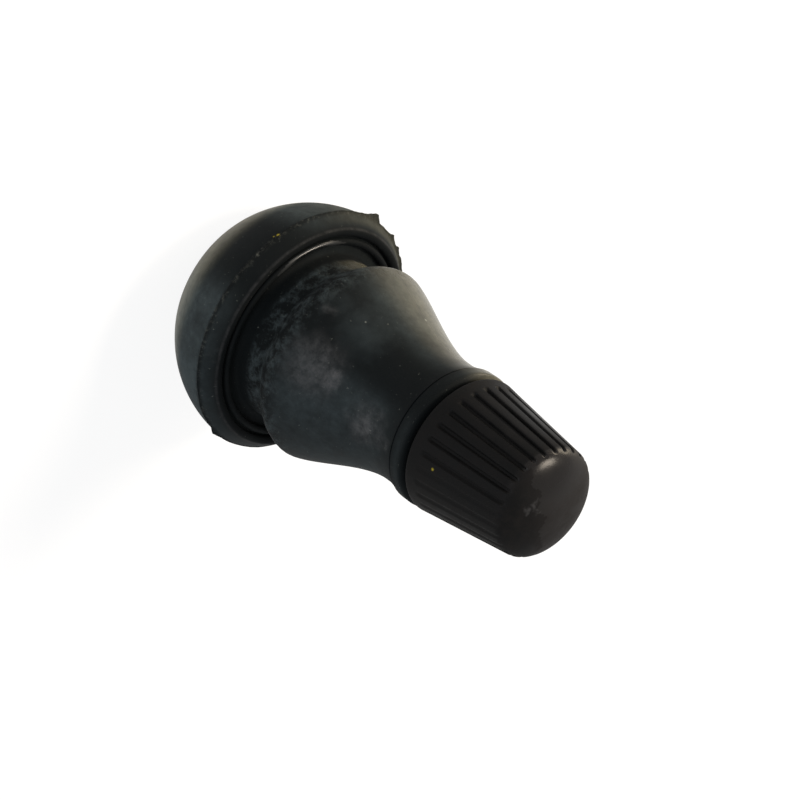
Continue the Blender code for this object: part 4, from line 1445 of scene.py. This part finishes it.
class VALVE_OT_core_pin(Operator):
    """Pin of the core with its pressed cup and the rubber washer that seals the seat"""

    bl_idname = "valve.core_pin"
    bl_label = "Core pin, cup and washer"

    def execute(self, context):
        colours = context.scene.valve_colours
        collar_base = SPRING_TOP + GAP
        collar_top = collar_base + 0.4 * MM
        rivet_top = CUP_BASE - GAP
        head_base = PIN_TOP - 0.42 * MM
        head = 0.75 * MM
        collar = 0.95 * MM
        rivet = 0.85 * MM
        points = [
            (0.0, PIN_TOP),
            (head, PIN_TOP),
            (head, head_base),
            (PIN_SHANK, head_base),
            (PIN_SHANK, collar_top),
            (collar, collar_top),
            (collar, collar_base),
            (PIN_SHANK, collar_base),
            (PIN_SHANK, rivet_top),
            (rivet, rivet_top),
            (rivet, PIN_BASE + 0.12 * MM),
            (0.55 * MM, PIN_BASE),
            (0.0, PIN_BASE),
        ]
        rounds = [([1], 0.16 * MM, 4), ([5, 6, 9, 10], 0.06 * MM, 2)]
        bm = rounded_wire(points, closed=False, rounds=rounds)
        spin_round(bm, 64)
        material = turned_metal("drawn_steel", colours.steel, 0.26)
        finish_piece("steel_core_pin", bm, material, "core_pin", ["core_pin"])
        hole = 0.55 * MM
        outside = 1.7 * MM
        inside = 1.52 * MM
        floor_top = CUP_BASE + 0.4 * MM
        points = [
            (hole, CUP_BASE),
            (outside, CUP_BASE),
            (outside, CUP_TOP),
            (inside, CUP_TOP),
            (inside, floor_top),
            (hole, floor_top),
        ]
        bm = rounded_wire(points, rounds=[([1], 0.2 * MM, 4), ([2, 3], 0.05 * MM, 2)])
        spin_round(bm, 96)
        material = turned_metal("pressed_brass", colours.brass, 0.36)
        finish_piece("pressed_cup", bm, material, "core_pin", ["core_cup"])
        rim = 1.47 * MM
        points = [(hole, WASHER_BASE), (rim, WASHER_BASE), (rim, WASHER_TOP), (hole, WASHER_TOP)]
        bm = rounded_wire(points, rounds=[([1, 2], 0.08 * MM, 3)])
        spin_round(bm, 96)
        material = sealing_rubber("washer_rubber", colours.rubber, 0.6)
        finish_piece("soft_seat_washer", bm, material, "core_pin", ["seat_washer"])
        return {"FINISHED"}


class VALVE_OT_core_spring(Operator):
    """Coil spring of the core, with its end turns closed"""

    bl_idname = "valve.core_spring"
    bl_label = "Core spring"

    def execute(self, context):
        wire = 0.15 * MM
        coil = 0.83 * MM
        turn_steps = 32
        closed_rise = 2 * wire + GAP
        open_turns = 6
        open_rise = (SPRING_TOP - SPRING_BASE - 2 * wire - 2 * closed_rise) / open_turns
        bm = bmesh.new()
        bmesh.ops.create_circle(bm, cap_ends=False, radius=wire, segments=12)
        bmesh.ops.rotate(bm, verts=bm.verts[:], cent=(0, 0, 0), matrix=Matrix.Rotation(math.pi / 2, 3, "X"))
        bmesh.ops.translate(bm, verts=bm.verts[:], vec=(coil, 0, SPRING_BASE + wire))
        first_ring = bm.edges[:]
        ring = bm.verts[:] + bm.edges[:]
        for turns, rise in ((1, closed_rise), (open_turns, open_rise), (1, closed_rise)):
            grown = bmesh.ops.spin(
                bm,
                geom=ring,
                cent=(0, 0, 0),
                axis=(0, 0, 1),
                dvec=(0, 0, rise / turn_steps),
                angle=math.tau * turns,
                steps=turn_steps * turns,
                use_merge=False,
            )
            ring = grown["geom_last"]
        last_ring = [item for item in ring if isinstance(item, bmesh.types.BMEdge)]
        bmesh.ops.contextual_create(bm, geom=first_ring)
        bmesh.ops.contextual_create(bm, geom=last_ring)
        bmesh.ops.recalc_face_normals(bm, faces=bm.faces[:])
        material = turned_metal("spring_steel", context.scene.valve_colours.steel, 0.24)
        piece = finish_piece("coil_spring", bm, material, "core", ["core_spring"])
        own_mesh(piece)
        return {"FINISHED"}


# The camera's own directions in the valve's space: it looks down on the valve and is rolled.
# The framing is how far it aims past the middle of the valve, to its right and below
VIEW_RIGHT = Vector((-0.57933, 0.48974, 0.65156))
VIEW_UP = Vector((-0.81509, -0.34809, -0.46310))
VIEW_BACK = Vector((0.0, -0.79937, 0.60084))
FRAMING = (2.09 * MM, 1.38 * MM)

# Soft lamps, all at one distance: name, direction, what the width lies along, size, power and tint
LAMP_DISTANCE = 0.6
LAMPS = (
    ("side_lamp", (0.5, -0.83, 0.24), (0, 0, 1), (0.3, 0.3), "side_power", "eef5ff"),
    ("rim_lamp", (-0.93, 0.34, 0.18), (0, 0, 1), (0.3, 0.3), "rim_power", "ffeed2"),
    ("key_lamp", (-0.6, 0.08, 0.795), (-0.38, 0.87, -0.31), (0.2, 0.15), "key_power", "fff1de"),
)

# Share of the floor that shows as the white backdrop, and how bright that is
FLOOR_SHARE = 0.8
FLOOR_GLOW = 1.1


def add_lamp(name, direction, along, size, power, tint, target):
    """A soft lamp that faces the valve, with its width laid along a direction."""
    lamp = bpy.data.lights.new(name, "AREA")
    lamp.shape = "RECTANGLE"
    lamp.size = size[0]
    lamp.size_y = size[1]
    lamp.energy = power
    lamp.color = linear(tint)
    back = direction.normalized()
    width = (along - back * along.dot(back)).normalized()
    turn = Matrix((width, back.cross(width), back)).transposed()
    holder = bpy.data.objects.new(name, lamp)
    holder.matrix_world = Matrix.Translation(target + back * LAMP_DISTANCE) @ turn.to_4x4()
    bpy.context.scene.collection.objects.link(holder)


def seen_white(tree):
    """Share of a surface that shows white: to the camera, in a gleam and through glass, but to no lamp."""
    rays = add_node(tree, "ShaderNodeLightPath")
    seen = add_node(
        tree,
        "ShaderNodeMath",
        MAXIMUM,
        {0: rays.outputs["Is Camera Ray"], 1: rays.outputs["Is Glossy Ray"]},
    )
    seen = add_node(
        tree, "ShaderNodeMath", MAXIMUM, {0: seen.outputs[0], 1: rays.outputs["Is Transmission Ray"]}
    )
    return seen.outputs[0]


class VALVE_OT_stage(Operator):
    """Pale floor, white surroundings, soft lamps and the camera"""

    bl_idname = "valve.stage"
    bl_label = "Stage and camera"

    def execute(self, context):
        stage = context.scene.valve_stage
        colours = context.scene.valve_colours
        middle = Vector((0, 0, 15 * MM))
        aim = middle + VIEW_RIGHT * FRAMING[0] - VIEW_UP * FRAMING[1]

        lens = bpy.data.cameras.new("photo_camera")
        lens.sensor_width = 36
        lens.lens = stage.lens
        lens.clip_start = 0.01
        lens.clip_end = 20
        camera = bpy.data.objects.new("photo_camera", lens)
        turn = Matrix((VIEW_RIGHT, VIEW_UP, VIEW_BACK)).transposed()
        camera.matrix_world = Matrix.Translation(aim + VIEW_BACK * stage.camera_distance) @ turn.to_4x4()
        context.scene.collection.objects.link(camera)
        context.scene.camera = camera

        bm = bmesh.new()
        bmesh.ops.create_circle(bm, cap_ends=True, radius=3.0, segments=96)
        mesh = bpy.data.meshes.new("floor")
        bm.to_mesh(mesh)
        bm.free()
        floor = bpy.data.objects.new("floor", mesh)
        floor.location.z = -0.01 * MM
        context.scene.collection.objects.link(floor)
        material = bpy.data.materials.new("painted_floor")
        material.use_nodes = True
        tree = material.node_tree
        shader = tree.nodes["Principled BSDF"]
        shader.inputs["Base Color"].default_value = (*colours.floor, 1)
        shader.inputs["Roughness"].default_value = 0.9
        share = add_node(tree, "ShaderNodeMath", MULTIPLY, {0: seen_white(tree), 1: FLOOR_SHARE})
        glow = add_node(tree, "ShaderNodeEmission", None, {"Color": (1, 1, 1, 1), "Strength": FLOOR_GLOW})
        blend = add_node(
            tree,
            "ShaderNodeMixShader",
            None,
            {0: share.outputs[0], 1: shader.outputs["BSDF"], 2: glow.outputs["Emission"]},
        )
        tree.links.new(blend.outputs["Shader"], tree.nodes["Material Output"].inputs["Surface"])
        mesh.materials.append(material)

        world = bpy.data.worlds.new("studio")
        context.scene.world = world
        world.use_nodes = True
        tree = world.node_tree
        strength = add_node(
            tree,
            "ShaderNodeMapRange",
            None,
            {"Value": seen_white(tree), "To Min": stage.fill_level, "To Max": 1.0},
        )
        backdrop = tree.nodes["Background"]
        backdrop.inputs["Color"].default_value = (1, 1, 1, 1)
        tree.links.new(strength.outputs["Result"], backdrop.inputs["Strength"])

        for name, direction, along, size, power, tint in LAMPS:
            add_lamp(name, Vector(direction), Vector(along), size, getattr(stage, power), tint, middle)
        context.scene.view_settings.view_transform = "Standard"
        return {"FINISHED"}


class VALVE_PT_parts(Panel):
    """Lists what can be built"""

    bl_label = "Tyre valve"
    bl_space_type = "VIEW_3D"
    bl_region_type = "UI"
    bl_category = "Tyre valve"

    def draw(self, context):
        for maker in MAKERS:
            self.layout.operator(maker.bl_idname)
        self.layout.prop(context.scene.valve_stage, "fill_level")


MAKERS = (
    VALVE_OT_rubber_body,
    VALVE_OT_stem,
    VALVE_OT_cap,
    VALVE_OT_cap_seal,
    VALVE_OT_core_plug,
    VALVE_OT_core_barrel,
    VALVE_OT_core_pin,
    VALVE_OT_core_spring,
    VALVE_OT_stage,
)
CLASSES = (ValveSizes, ValveColours, ValveStage, *MAKERS, VALVE_PT_parts)


def register():
    for item in CLASSES:
        bpy.utils.register_class(item)
    bpy.types.Scene.valve_sizes = PointerProperty(type=ValveSizes)
    bpy.types.Scene.valve_colours = PointerProperty(type=ValveColours)
    bpy.types.Scene.valve_stage = PointerProperty(type=ValveStage)


def unregister():
    del bpy.types.Scene.valve_stage
    del bpy.types.Scene.valve_colours
    del bpy.types.Scene.valve_sizes
    for item in reversed(CLASSES):
        bpy.utils.unregister_class(item)


def main():
    """Builds every piece and the stage."""
    register()
    bpy.ops.valve.rubber_body()
    bpy.ops.valve.stem()
    bpy.ops.valve.cap()
    bpy.ops.valve.cap_seal()
    bpy.ops.valve.core_plug()
    bpy.ops.valve.core_barrel()
    bpy.ops.valve.core_pin()
    bpy.ops.valve.core_spring()
    bpy.ops.valve.stage()


if __name__ == "__main__":
    main()
